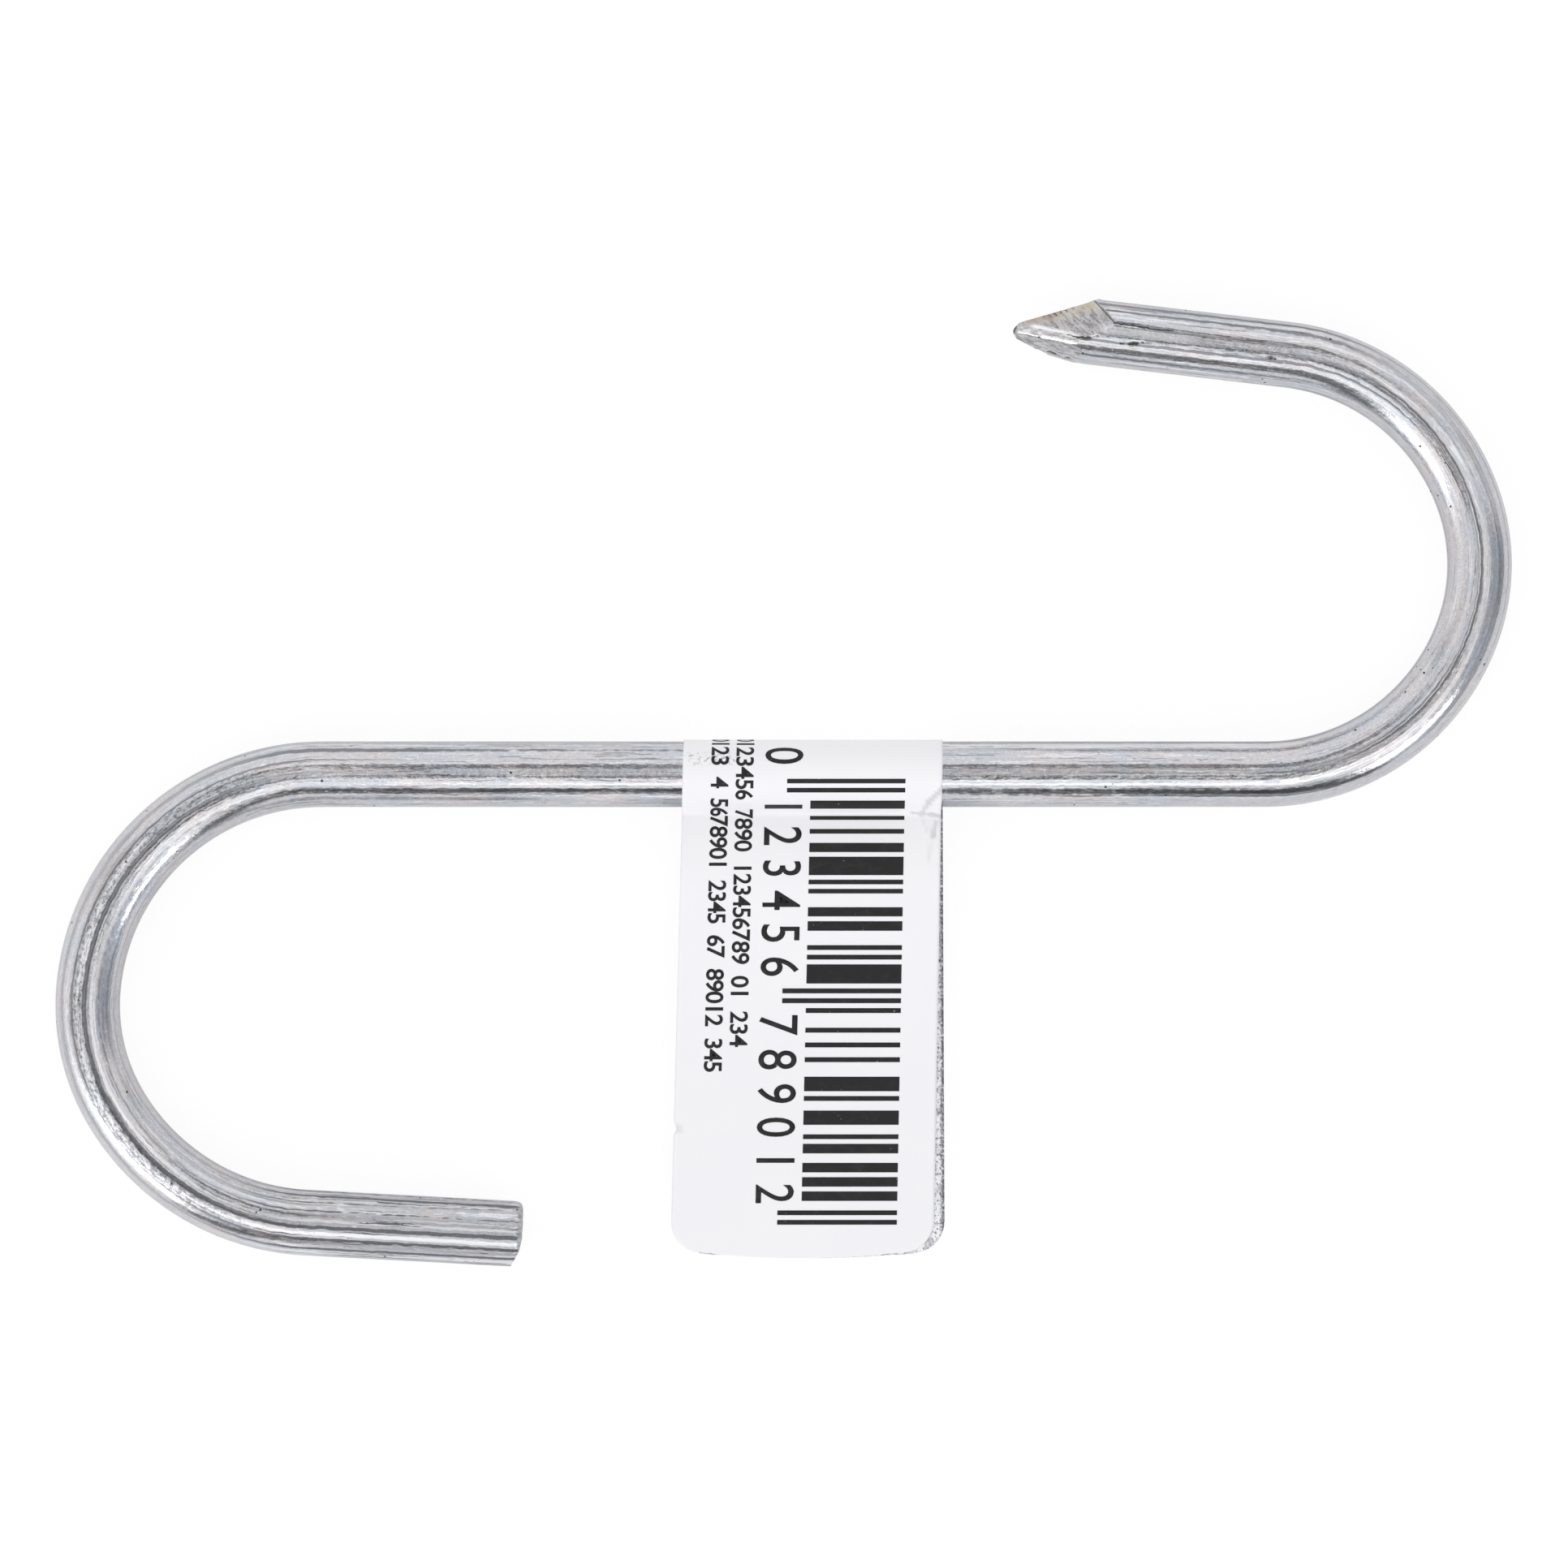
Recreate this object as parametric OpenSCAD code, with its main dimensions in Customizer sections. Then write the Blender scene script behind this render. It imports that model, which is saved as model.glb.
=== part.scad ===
// S hook bent from one length of round galvanised wire, lying flat, with a folded paper label on its shank.
// X runs along the shank, Y across the two hooks, and Z up from the surface that the hook lies on.
// The origin is at the bottom centre of the whole part.

/* [Wire] */
// Diameter of the wire
wire_d = 4.5; // [3:0.1:7]
// Straight length of the shank between the two bends
shank_len = 64.7; // [50:0.1:90]
// Diameter that the wire loses where a bend begins, and again at its crown
bend_thinning = 0.04; // [0.02:0.01:0.08]

/* [Pointed hook] */
// Radius of the wire's middle line where the bend leaves the shank
point_foot_r = 14.8; // [12:0.1:18]
// How far the wire turns at that radius
point_foot_turn = 73.3; // [60:0.1:80]
// Radius of the wire's middle line at the crown of the bend
point_crown_r = 13.4; // [11:0.1:18]
// How far the wire turns at the crown
point_crown_turn = 35; // [20:1:45]
// Radius of the wire's middle line where the bend runs into the leg
point_leg_r = 15; // [12:0.1:18]
// How far the wire turns at that radius
point_leg_turn = 65; // [55:0.1:75]
// Straight length of the pointed leg, from the bend to the nose
point_leg_len = 18.9; // [15:0.1:24]

/* [Point] */
// Slope of the flat along the top of the point, to the leg
crest_slope = 22.6; // [16:0.1:28]
// Distance of that flat below the leg's axis, at the nose
crest_drop = 0.13; // [0:0.01:0.3]
// Slope of the two large upper facets
cheek_slope = 14.6; // [12:0.1:20]
// Direction that they face, from the top of the leg round towards its side
cheek_turn = 60.9; // [50:0.1:70]
// Distance of the upper facets from the leg's axis, at the nose
cheek_at_nose = 0.41; // [0.3:0.01:0.6]
// Slope of the two side facets
flank_slope = 20; // [16:0.5:24]
// Direction that the side facets face
flank_turn = 105; // [98:1:112]
// Distance of the side facets from the leg's axis, at the nose
flank_at_nose = 0.59; // [0.45:0.01:0.8]
// Slope of the two lower facets
jowl_slope = 16.9; // [14:0.1:20]
// Direction that the lower facets face
jowl_turn = 140; // [132:1:148]
// Distance of the lower facets from the leg's axis, at the nose
jowl_at_nose = 0.77; // [0.6:0.01:1]
// Slope of the flat along the bottom of the point
keel_slope = 8; // [5:0.5:12]
// Distance of that flat from the leg's axis, at the nose
keel_at_nose = 1.62; // [1.3:0.01:1.7]
// Radius that the nose is blunted to
nose_r = 0.5; // [0.35:0.05:0.7]

/* [Blunt hook] */
// Radius of the wire's middle line where the bend leaves the shank
blunt_foot_r = 16.1; // [13:0.1:19]
// How far the wire turns at that radius
blunt_foot_turn = 85.4; // [70:0.1:90]
// Radius of the wire's middle line at the crown of the bend
blunt_crown_r = 13.7; // [11:0.1:18]
// How far the wire turns at the crown
blunt_crown_turn = 35; // [20:1:45]
// Radius of the wire's middle line where the bend runs into the leg
blunt_leg_r = 16.1; // [13:0.1:19]
// How far the wire turns at that radius
blunt_leg_turn = 56.5; // [45:0.1:65]
// Straight length of the blunt leg, from the bend to its end
blunt_leg_len = 14.9; // [12:0.1:18]
// Radius that the shears rolled on the rim of the end
rim_r = 0.5; // [0.2:0.05:0.6]
// How far the torn corner of the end runs along the leg
tear_run = 0.75; // [0.5:0.05:1.2]
// How far the torn corner runs across the leg
tear_depth = 1.5; // [0.8:0.1:1.8]

/* [Label] */
// Thickness of the label paper
paper_t = 0.1; // [0.06:0.01:0.2]
// Layer of adhesive between the wire and the paper
glue_t = 0.02; // [0.01:0.005:0.05]
// Width of the label along the shank
label_w = 17.75; // [12:0.05:25]
// Place of the label's middle along the shank, from the shank's own middle
label_at = 1.35; // [-8:0.05:8]
// Reach of the label below the shank's axis
flag_len = 33.2; // [22:0.1:36]
// Angle to the flag at which the paper comes off the wire
pinch_angle = 60; // [45:1:70]
// Lean of the front leaf's middle line
front_lean = -1.25; // [-3:0.05:3]
// How much wider the front leaf is at its bottom than at the fold
front_flare = 0.3; // [0:0.05:1]
// Lean of the back leaf's middle line
back_lean = 0.25; // [-3:0.05:3]
// Radius of the label's bottom corners
corner_r = 2.2; // [1:0.1:4]
// Bow of the label's bottom edge
bottom_bow = 0.35; // [0:0.05:0.5]

/* [Hidden] */
$fn = 96;

wire_r = wire_d / 2;
wrap_in = wire_r + glue_t;
wrap_out = wrap_in + paper_t;
axis_z = wrap_out;

// Radius of the wire itself at the foot and crown of a bend, which bending has stretched
foot_wire_r = wire_r - bend_thinning / 2;
crown_wire_r = wire_r - bend_thinning;

// Each bend is a list of arcs, and each arc is a radius, a turn and the radius of the wire there
POINT_BEND = [
    [point_foot_r, point_foot_turn, foot_wire_r],
    [point_crown_r, point_crown_turn, crown_wire_r],
    [point_leg_r, point_leg_turn, foot_wire_r]
];
BLUNT_BEND = [
    [blunt_foot_r, blunt_foot_turn, foot_wire_r],
    [blunt_crown_r, blunt_crown_turn, crown_wire_r],
    [blunt_leg_r, blunt_leg_turn, foot_wire_r]
];

// Each facet of the point is a direction, a slope and a distance from the leg's axis at the nose
FACETS = [
    [0, crest_slope, -crest_drop],
    [cheek_turn, cheek_slope, cheek_at_nose],
    [-cheek_turn, cheek_slope, cheek_at_nose],
    [flank_turn, flank_slope, flank_at_nose],
    [-flank_turn, flank_slope, flank_at_nose],
    [jowl_turn, jowl_slope, jowl_at_nose],
    [-jowl_turn, jowl_slope, jowl_at_nose],
    [180, keel_slope, keel_at_nose]
];

// Each stretch of wire runs on inside a thicker neighbour by this angle
seat_turn = 1;

// Half angle of the cone behind the blunted nose, and the depth of the tool that cuts it
nose_flare = 45;
nose_depth = point_leg_len + wire_d;
nose_steps = 8;

// A cutting block larger than any end of the wire
cutter = 8 * wire_d;

wrap_steps = 60;
corner_steps = 10;
bow_steps = 8;

function total(list, i = 0) = i == len(list) ? 0 : list[i] + total(list, i + 1);
function clamp(value, low, high) = min(max(value, low), high);

// The wire's heading where arc number i of a bend begins
function heading(bend, i) = total([for (k = [0:1:i - 1]) bend[k][1]]);

// A step along an arc of radius r, from one heading to another
function arc_step(r, from, to) = r * [sin(to) - sin(from), cos(from) - cos(to)];

// Where arc number i of a bend begins, from the middle of the shank
function arc_start(bend, i) = i == 0
    ? [shank_len / 2, 0]
    : arc_start(bend, i - 1) + arc_step(bend[i - 1][0], heading(bend, i - 1), heading(bend, i));

// The point of arc number i that comes nearest to a heading
function arc_point(bend, i, wanted) =
    let (from = heading(bend, i), to = heading(bend, i + 1), at = clamp(wanted, from, to))
    concat(arc_start(bend, i) + arc_step(bend[i][0], from, at), at);

// How far a bend reaches out along the shank, and a hook across it, from the middle of the shank
function reach_x(bend) =
    max([for (i = [0:len(bend) - 1]) let (p = arc_point(bend, i, 90)) p[0] + bend[i][2] * sin(p[2])]);
function reach_y(bend, leg) =
    let (turn = heading(bend, len(bend)), end = arc_start(bend, len(bend)) + leg * [cos(turn), sin(turn)])
    max(concat(
        end[1] - wire_r * cos(turn),
        [for (i = [0:len(bend) - 1]) let (p = arc_point(bend, i, 180)) p[1] - bend[i][2] * cos(p[2])]
    ));

// Middle of the nose, below the leg's axis
nose_y = (crest_drop - jowl_at_nose / cos(jowl_turn)) / 2;

// The crest's flat begins this far behind the nose
crest_run = (wire_r + crest_drop) / tan(crest_slope);

east = reach_x(POINT_BEND);
west = reach_x(BLUNT_BEND);
north = reach_y(POINT_BEND, point_leg_len - crest_run);
south = max(reach_y(BLUNT_BEND, blunt_leg_len - tear_run), flag_len);

// Moves the shank's middle to its place over the origin
module on_surface() translate([(west - east) / 2, (south - north) / 2, axis_z]) children();

// A straight stretch of wire along X
module straight(length) rotate([0, 90, 0]) cylinder(r = wire_r, h = length);

// One arc of a bend, which turns left from the origin, with what follows at its end.
// It runs on into the neighbour before it, after it or both, where that one is thicker.
module arc(size, before, after) {
    radius = size[0];
    turn = size[1];
    translate([0, radius, 0]) {
        rotate_extrude(angle = turn + (before + after) * seat_turn, start = -90 - before * seat_turn)
            translate([radius, 0])
                circle(r = size[2]);
        rotate(turn)
            translate([0, -radius, 0])
                children();
    }
}

// One hook of the wire from the end of the shank, with its leg as the child
module hook(bend)
    translate([shank_len / 2, 0, 0])
        arc(bend[0], 1, 0)
            arc(bend[1], 1, 1)
                arc(bend[2], 0, 1)
                    children();

// A block that cuts one facet of the point, whose nose is at the origin and looks along X
module facet(direction, slope, distance)
    rotate([90 - direction, 0, 0])
        translate([0, 0, distance])
            rotate([0, slope, 0])
                translate([-cutter / 2, -cutter / 2, 0])
                    cube(cutter);

// The blunted nose: a round end that opens into a cone, with its tip at the origin
module nose()
    rotate([0, -90, 0])
        rotate_extrude()
            polygon(concat(
                [for (i = [0:nose_steps])
                    let (a = i * (90 - nose_flare) / nose_steps)
                    nose_r * [sin(a), 1 - cos(a)]],
                [[nose_r * cos(nose_flare) + nose_depth * tan(nose_flare),
                  nose_r * (1 - sin(nose_flare)) + nose_depth],
                 [0, nose_r * (1 - sin(nose_flare)) + nose_depth]]
            ));

// The pointed leg: a straight length of wire pinched off in facets
module pointed_leg()
    intersection() {
        difference() {
            straight(point_leg_len);
            translate([point_leg_len, 0, 0])
                for (f = FACETS) facet(f[0], f[1], f[2]);
        }
        translate([point_leg_len, nose_y, 0]) nose();
    }

// The blunt leg: sheared off square, with a rolled rim and one torn corner
module blunt_leg()
    difference() {
        rotate([0, 90, 0])
            rotate_extrude()
                polygon(concat(
                    [[0, 0], [wire_r, 0]],
                    [for (i = [0:corner_steps])
                        let (a = i * 90 / corner_steps)
                        [wire_r - rim_r, blunt_leg_len - rim_r] + rim_r * [cos(a), sin(a)]],
                    [[0, blunt_leg_len]]
                ));
        translate([blunt_leg_len, tear_depth - wire_r, 0])
            rotate(180 + atan2(tear_depth, tear_run))
                translate([-cutter / 2, 0, -cutter / 2])
                    cube(cutter);
    }

module wire_hook()
    color("#a9abb0")
        on_surface() {
            translate([-shank_len / 2, 0, 0]) straight(shank_len);
            hook(POINT_BEND) pointed_leg();
            rotate(180) hook(BLUNT_BEND) blunt_leg();
        }

// The points of an arc round the shank's axis, as far as the paper lies on the wire
function wrap_arc(r) =
    let (reach = 90 + pinch_angle)
    [for (i = [0:wrap_steps]) let (a = reach * (2 * i / wrap_steps - 1)) r * [cos(a), sin(a)]];

// Section of the paper across the shank: one loop round the wire and two leaves stuck together
module paper_section() {
    crease_out = (wrap_out - paper_t * cos(pinch_angle)) / sin(pinch_angle);
    crease_in = wrap_in / sin(pinch_angle);
    difference() {
        polygon(concat(
            wrap_arc(wrap_out),
            [[-crease_out, paper_t], [-2 * flag_len, paper_t], [-2 * flag_len, -paper_t], [-crease_out, -paper_t]]
        ));
        polygon(concat(wrap_arc(wrap_in), [[-crease_in, 0]]));
    }
}

// Half width of a leaf at a height y, on a side whose edge opens out by an angle
function edge_at(y, opening) = label_w / 2 + (wrap_out - y) * tan(opening);

// Distance of a bottom corner's middle from the label's middle line
function corner_middle(opening, low) = edge_at(low + corner_r, opening) - corner_r / cos(opening);

// One rounded bottom corner: side 1 runs down the right edge, and side -1 runs up the left one
function corner_arc(side, opening, low) =
    [for (i = [0:corner_steps])
        let (part = side > 0 ? i / corner_steps : 1 - i / corner_steps, a = part * (90 + opening) - opening)
        [side * (corner_middle(opening, low) + corner_r * cos(a)), low + corner_r - corner_r * sin(a)]];

// The bottom edge from the right corner to the left one, bowed down in the middle
function bowed_edge(left, right, low) =
    let (from = corner_middle(right, low), to = -corner_middle(left, low))
    [for (i = [1:bow_steps - 1])
        let (part = i / bow_steps)
        [from + (to - from) * part, low - bottom_bow * 4 * part * (1 - part)]];

// Outline of one leaf seen from above, with the fold at the top
module leaf_outline(lean, flare) {
    opening = atan((flare / 2) / (flag_len + wrap_out));
    low = bottom_bow - flag_len;
    above = 2 * wrap_out;
    polygon(concat(
        [[-label_w / 2, wrap_out], [-label_w / 2, above], [label_w / 2, above], [label_w / 2, wrap_out]],
        corner_arc(1, opening + lean, low),
        bowed_edge(opening - lean, opening + lean, low),
        corner_arc(-1, opening - lean, low)
    ));
}

// One leaf with its half of the wrap: side 1 is the front and side -1 the back
module leaf(side, lean, flare)
    intersection() {
        rotate([90, 0, 90])
            translate([0, 0, -cutter])
                linear_extrude(2 * cutter)
                    paper_section();
        translate([0, 0, side > 0 ? 0 : -cutter])
            linear_extrude(cutter)
                leaf_outline(lean, flare);
    }

module label()
    color("#f1f2f6")
        on_surface()
            translate([label_at, 0, 0]) {
                leaf(1, front_lean, front_flare);
                leaf(-1, back_lean, 0);
            }

wire_hook();
label();
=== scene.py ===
"""Dresses the packed S hook: a galvanised wire, bent and pinched to a point, with a folded paper label on it."""

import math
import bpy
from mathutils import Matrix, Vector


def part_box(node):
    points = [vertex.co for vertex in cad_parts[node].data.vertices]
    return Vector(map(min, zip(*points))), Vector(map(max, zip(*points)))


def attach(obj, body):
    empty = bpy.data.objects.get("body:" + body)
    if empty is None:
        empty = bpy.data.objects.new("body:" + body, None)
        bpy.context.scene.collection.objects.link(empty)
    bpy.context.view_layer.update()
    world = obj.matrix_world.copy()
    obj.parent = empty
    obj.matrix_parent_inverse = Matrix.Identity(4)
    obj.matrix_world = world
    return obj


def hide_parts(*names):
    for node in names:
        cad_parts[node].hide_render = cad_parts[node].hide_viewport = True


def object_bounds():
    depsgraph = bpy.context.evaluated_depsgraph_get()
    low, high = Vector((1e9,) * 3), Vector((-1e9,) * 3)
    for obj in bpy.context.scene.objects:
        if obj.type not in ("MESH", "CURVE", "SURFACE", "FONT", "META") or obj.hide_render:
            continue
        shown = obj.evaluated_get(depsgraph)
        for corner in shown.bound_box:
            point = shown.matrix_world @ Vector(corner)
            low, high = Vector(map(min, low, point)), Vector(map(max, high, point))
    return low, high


bl_info = {
    "name": "Wire S hook with a paper label",
    "version": (1, 0, 0),
    "blender": (4, 5, 0),
    "location": "3D View > Sidebar > S Hook",
    "description": "Bends the wire, folds and prints the label, and sets the stage",
    "category": "Object",
}

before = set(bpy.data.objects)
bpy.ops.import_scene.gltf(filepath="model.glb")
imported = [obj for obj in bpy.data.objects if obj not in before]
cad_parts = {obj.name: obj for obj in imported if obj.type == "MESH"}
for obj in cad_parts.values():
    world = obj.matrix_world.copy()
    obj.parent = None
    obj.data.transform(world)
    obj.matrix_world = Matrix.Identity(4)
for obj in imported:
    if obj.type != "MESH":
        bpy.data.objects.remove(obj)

import bmesh
import bpy
from mathutils import Matrix, Vector, noise

MM = 0.001
CAD_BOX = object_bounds()
WIRE_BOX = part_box("wire_hook")
LABEL_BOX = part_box("label")


def length(name, description, millimetres):
    """A length that a user may change, given in millimetres."""
    return bpy.props.FloatProperty(
        name=name, description=description, default=millimetres * MM, unit="LENGTH", precision=5)


def angle(name, description, degrees):
    """An angle that a user may change, given in degrees."""
    return bpy.props.FloatProperty(
        name=name, description=description, default=math.radians(degrees), subtype="ANGLE")


def colour(name, description, red, green, blue):
    """A colour that a user may change."""
    return bpy.props.FloatVectorProperty(
        name=name, description=description, default=(red, green, blue), subtype="COLOR", min=0, max=1)


def count(name, description, number):
    """A whole number that a user may change."""
    return bpy.props.IntProperty(name=name, description=description, default=number, min=1)


def factor(name, description, value):
    """A plain number that a user may change."""
    return bpy.props.FloatProperty(name=name, description=description, default=value)


class WireSizes(bpy.types.PropertyGroup):
    """Sizes of the bent wire."""

    diameter: length("Wire diameter", "Diameter of the drawn wire", 4.5)
    shank: length("Shank", "Straight length between the two bends", 64.7)
    thinning: length("Bend thinning", "Radius that the wire loses at the crown of a bend", 0.04)
    point_foot_radius: length("Pointed foot", "Bend radius where the pointed hook leaves the shank", 14.8)
    point_foot_turn: angle("Pointed foot turn", "Turn at that radius", 73.3)
    point_crown_radius: length("Pointed crown", "Bend radius at the crown of the pointed hook", 13.4)
    point_crown_turn: angle("Pointed crown turn", "Turn at that radius", 35)
    point_leg_radius: length("Pointed run-out", "Bend radius where the bend meets the pointed leg", 15)
    point_leg_turn: angle("Pointed run-out turn", "Turn at that radius", 65)
    point_leg: length("Pointed leg", "Straight length from the bend to the nose", 18.9)
    blunt_foot_radius: length("Blunt foot", "Bend radius where the blunt hook leaves the shank", 16.1)
    blunt_foot_turn: angle("Blunt foot turn", "Turn at that radius", 85.4)
    blunt_crown_radius: length("Blunt crown", "Bend radius at the crown of the blunt hook", 13.7)
    blunt_crown_turn: angle("Blunt crown turn", "Turn at that radius", 35)
    blunt_leg_radius: length("Blunt run-out", "Bend radius where the bend meets the blunt leg", 16.1)
    blunt_leg_turn: angle("Blunt run-out turn", "Turn at that radius", 56.5)
    blunt_leg: length("Blunt leg", "Straight length from the bend to the sheared end", 14.9)
    rim: length("Rim radius", "Radius that the shears rolled on the rim of the blunt end", 0.5)
    nose: length("Nose radius", "Radius that the point's nose is blunted to", 0.5)
    sides: count("Sides", "Faces round the wire", 160)


class LabelSizes(bpy.types.PropertyGroup):
    """Sizes of the folded label."""

    paper: length("Paper", "Thickness of the paper", 0.1)
    glue: length("Adhesive", "Layer of adhesive between the wire and the paper", 0.02)
    width: length("Width", "Width of the label along the shank", 17.75)
    middle: length("Place", "Middle of the label, from the middle of the shank", 1.35)
    flag: length("Flag", "Reach of the label below the shank's axis", 33.2)
    pinch: angle("Pinch", "Angle to the flag at which the paper comes off the wire", 60)
    crease: length("Crease radius", "Radius of the paper where the two leaves meet", 0.45)
    front_lean: angle("Front lean", "Lean of the front leaf", -1.25)
    front_flare: length("Front flare", "How much wider the front leaf is at its bottom", 0.3)
    back_lean: angle("Back lean", "Lean of the back leaf", 0.25)
    corner: length("Corner radius", "Radius of the bottom corners", 2.2)
    bow: length("Bow", "Bow of the bottom edge", 0.35)


class PrintSizes(bpy.types.PropertyGroup):
    """Sizes and places of the print on the label."""

    module: length("Module", "Width of the narrowest bar, as printed on the flat sheet", 0.3265)
    first_bar: length("First bar", "Place of the first guard bar, above the shank's axis", -0.3)
    bar_left: length("Bars, left", "Left end of the bars, from the label's middle", -0.1)
    guard_left: length("Guards, left", "Left end of the guard bars", -1.72)
    bar_right: length("Bars, right", "Right end of all the bars", 6.36)
    number_height: length("Number height", "Height of the large numbers", 2.56)
    number_base: length("Number base", "Bottom of the large numbers, from the label's middle", -3.2)
    note_height: length("Small number height", "Height of the small numbers", 1.18)
    ink: length("Ink", "Thickness of the ink", 0.012)


class FinishColours(bpy.types.PropertyGroup):
    """Colours of the finishes."""

    zinc: colour("Zinc", "The bright drawn zinc", 0.592, 0.592, 0.617)
    groove: colour("Groove", "The dark of the draw lines", 0.16, 0.165, 0.18)
    blue_zinc: colour("Blue zinc", "Zinc with a blue cast", 0.50, 0.535, 0.615)
    warm_zinc: colour("Warm zinc", "Zinc with a pink cast", 0.635, 0.58, 0.575)
    cut_steel: colour("Cut steel", "The pinched facets, where the zinc is torn", 0.505, 0.505, 0.515)
    straw: colour("Straw", "The yellow stain on the facets", 0.58, 0.54, 0.38)
    rust: colour("Rust", "The brown stain on the facets near the nose", 0.42, 0.31, 0.24)
    # Grime also paints shade: in the notch under the upper facets, round the nose's edge and along the step where
    # the upper facets end
    grime: colour("Grime", "The dark in pits and gouges", 0.035, 0.035, 0.03)
    paper: colour("Paper", "The coated face of the label", 0.893, 0.888, 0.91)
    adhesive: colour("Adhesive", "The sticky side of the label", 0.52, 0.52, 0.53)
    speck: colour("Speck", "Dirt on the sticky side and in the scuffs", 0.05, 0.05, 0.055)
    ink: colour("Ink", "The print", 0.012, 0.011, 0.012)


class StudioSettings(bpy.types.PropertyGroup):
    """The camera and the light."""

    lens: factor("Lens", "Focal length in millimetres", 200)
    frame_pixels: count("Frame", "Side of the square picture in pixels", 1932)
    pixels_per_mm: factor("Scale", "Pixels to a millimetre in the picture", 17.95)
    middle_x: factor("Middle, across", "Pixel column of the hook's own middle", 965.5)
    middle_y: factor("Middle, down", "Pixel row of the hook's own middle", 965)
    sky: factor("Sky", "Strength of the light from the tent", 1.07)
    lamp: factor("Lamp", "Power of each of the two low lamps in watts", 0.45)
    floor: colour("Floor", "The paper that the hook lies on", 0.93, 0.93, 0.935)


GROUPS = {
    "hook_wire": WireSizes,
    "hook_label": LabelSizes,
    "hook_print": PrintSizes,
    "hook_finish": FinishColours,
    "hook_studio": StudioSettings,
}


class Route:
    """A flat line of straight and round stretches. Each stretch is a length and the turn to the left over it."""

    def __init__(self, start, heading, stretches):
        self.stretches = stretches
        self.starts = [(0.0, Vector(start), heading)]
        for stretch, turn in stretches:
            travelled, point, heading = self.starts[-1]
            end = self.walk(point, heading, stretch, turn, stretch)
            self.starts.append((travelled + stretch, end, heading + turn))
        self.length = self.starts[-1][0]

    @staticmethod
    def walk(point, heading, stretch, turn, distance):
        """The point at a distance along one stretch."""
        if turn == 0:
            return point + distance * Vector((math.cos(heading), math.sin(heading)))
        radius = stretch / turn
        there = heading + distance / radius
        return point + radius * Vector((math.sin(there) - math.sin(heading), math.cos(heading) - math.cos(there)))

    def at(self, distance):
        """The point and the heading at a distance along the route, which runs on straight past its ends."""
        number = 0
        while number < len(self.stretches) - 1 and distance >= self.starts[number + 1][0]:
            number += 1
        travelled, point, heading = self.starts[number]
        stretch, turn = self.stretches[number]
        on = distance - travelled
        if on < 0 or on > stretch:
            end = 0 if on < 0 else stretch
            edge = self.walk(point, heading, stretch, turn, end)
            there = heading + (turn if end else 0)
            return edge + (on - end) * Vector((math.cos(there), math.sin(there))), there
        return self.walk(point, heading, stretch, turn, on), heading + turn * on / stretch

    def place(self, distance, left):
        """The point at a distance along the route and a distance to its left."""
        point, heading = self.at(distance)
        return point + left * Vector((-math.sin(heading), math.cos(heading)))


def arc(radius, turn):
    """A round stretch of a route: a positive turn goes left."""
    return (radius * abs(turn), turn)


def smooth(value, low, high):
    """0 below low, 1 above high and an even curve between them."""
    part = min(max((value - low) / (high - low), 0.0), 1.0)
    return part * part * (3 - 2 * part)


def bell(distance, width):
    """1 at no distance, falling to almost nothing past the width."""
    return math.exp(-(distance / width) ** 2 * 2)


def verts_of(geometry):
    """The vertices among what an operator gave back."""
    return [item for item in geometry if isinstance(item, bmesh.types.BMVert)]


def edges_of(geometry):
    """The edges among what an operator gave back."""
    return [item for item in geometry if isinstance(item, bmesh.types.BMEdge)]


def around(faces):
    """Faces with their edges and vertices, as a cut needs them."""
    edges = {edge for face in faces for edge in face.edges}
    verts = {vert for face in faces for vert in face.verts}
    return list(verts) + list(edges) + list(faces)


def segment_distance(x, y, start, end):
    """How far a point lies from a line between two points, and how far along that line it is, from 0 to 1."""
    run_x = end[0] - start[0]
    run_y = end[1] - start[1]
    along = ((x - start[0]) * run_x + (y - start[1]) * run_y) / (run_x * run_x + run_y * run_y)
    along = min(max(along, 0.0), 1.0)
    return math.hypot(x - start[0] - along * run_x, y - start[1] - along * run_y), along


def show(bm, name, materials, body="root"):
    """Makes a piece of a finished mesh, smooth between its sharp edges, and rides it on its body."""
    mesh = bpy.data.meshes.new(name)
    bm.to_mesh(mesh)
    bm.free()
    for material in materials:
        mesh.materials.append(material)
    piece = bpy.data.objects.new(name, mesh)
    bpy.context.scene.collection.objects.link(piece)
    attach(piece, body)
    return piece


class Value:
    """A socket that gives a number, in a form that takes part in Python sums."""

    def __init__(self, graph, socket):
        self.graph = graph
        self.socket = socket

    def maths(self, operation, *values):
        return self.graph.add("ShaderNodeMath", {"operation": operation}, dict(enumerate(values)))

    def __add__(self, other):
        return self.maths("ADD", self, other)

    def __radd__(self, other):
        return self.maths("ADD", other, self)

    def __sub__(self, other):
        return self.maths("SUBTRACT", self, other)

    def __rsub__(self, other):
        return self.maths("SUBTRACT", other, self)

    def __mul__(self, other):
        return self.maths("MULTIPLY", self, other)

    def __rmul__(self, other):
        return self.maths("MULTIPLY", other, self)

    def __abs__(self):
        return self.maths("ABSOLUTE", self)

    def ease(self, low, high):
        """0 at low and 1 at high, with an even curve between them."""
        return self.graph.add(
            "ShaderNodeMapRange",
            {"interpolation_type": "SMOOTHSTEP"},
            {"Value": self, "From Min": low, "From Max": high},
        )

    def band(self, middle, half_width, blur):
        """1 within a band round the middle, and 0 outside it."""
        return 1 - abs(self - middle).ease(half_width, half_width + blur)


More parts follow.
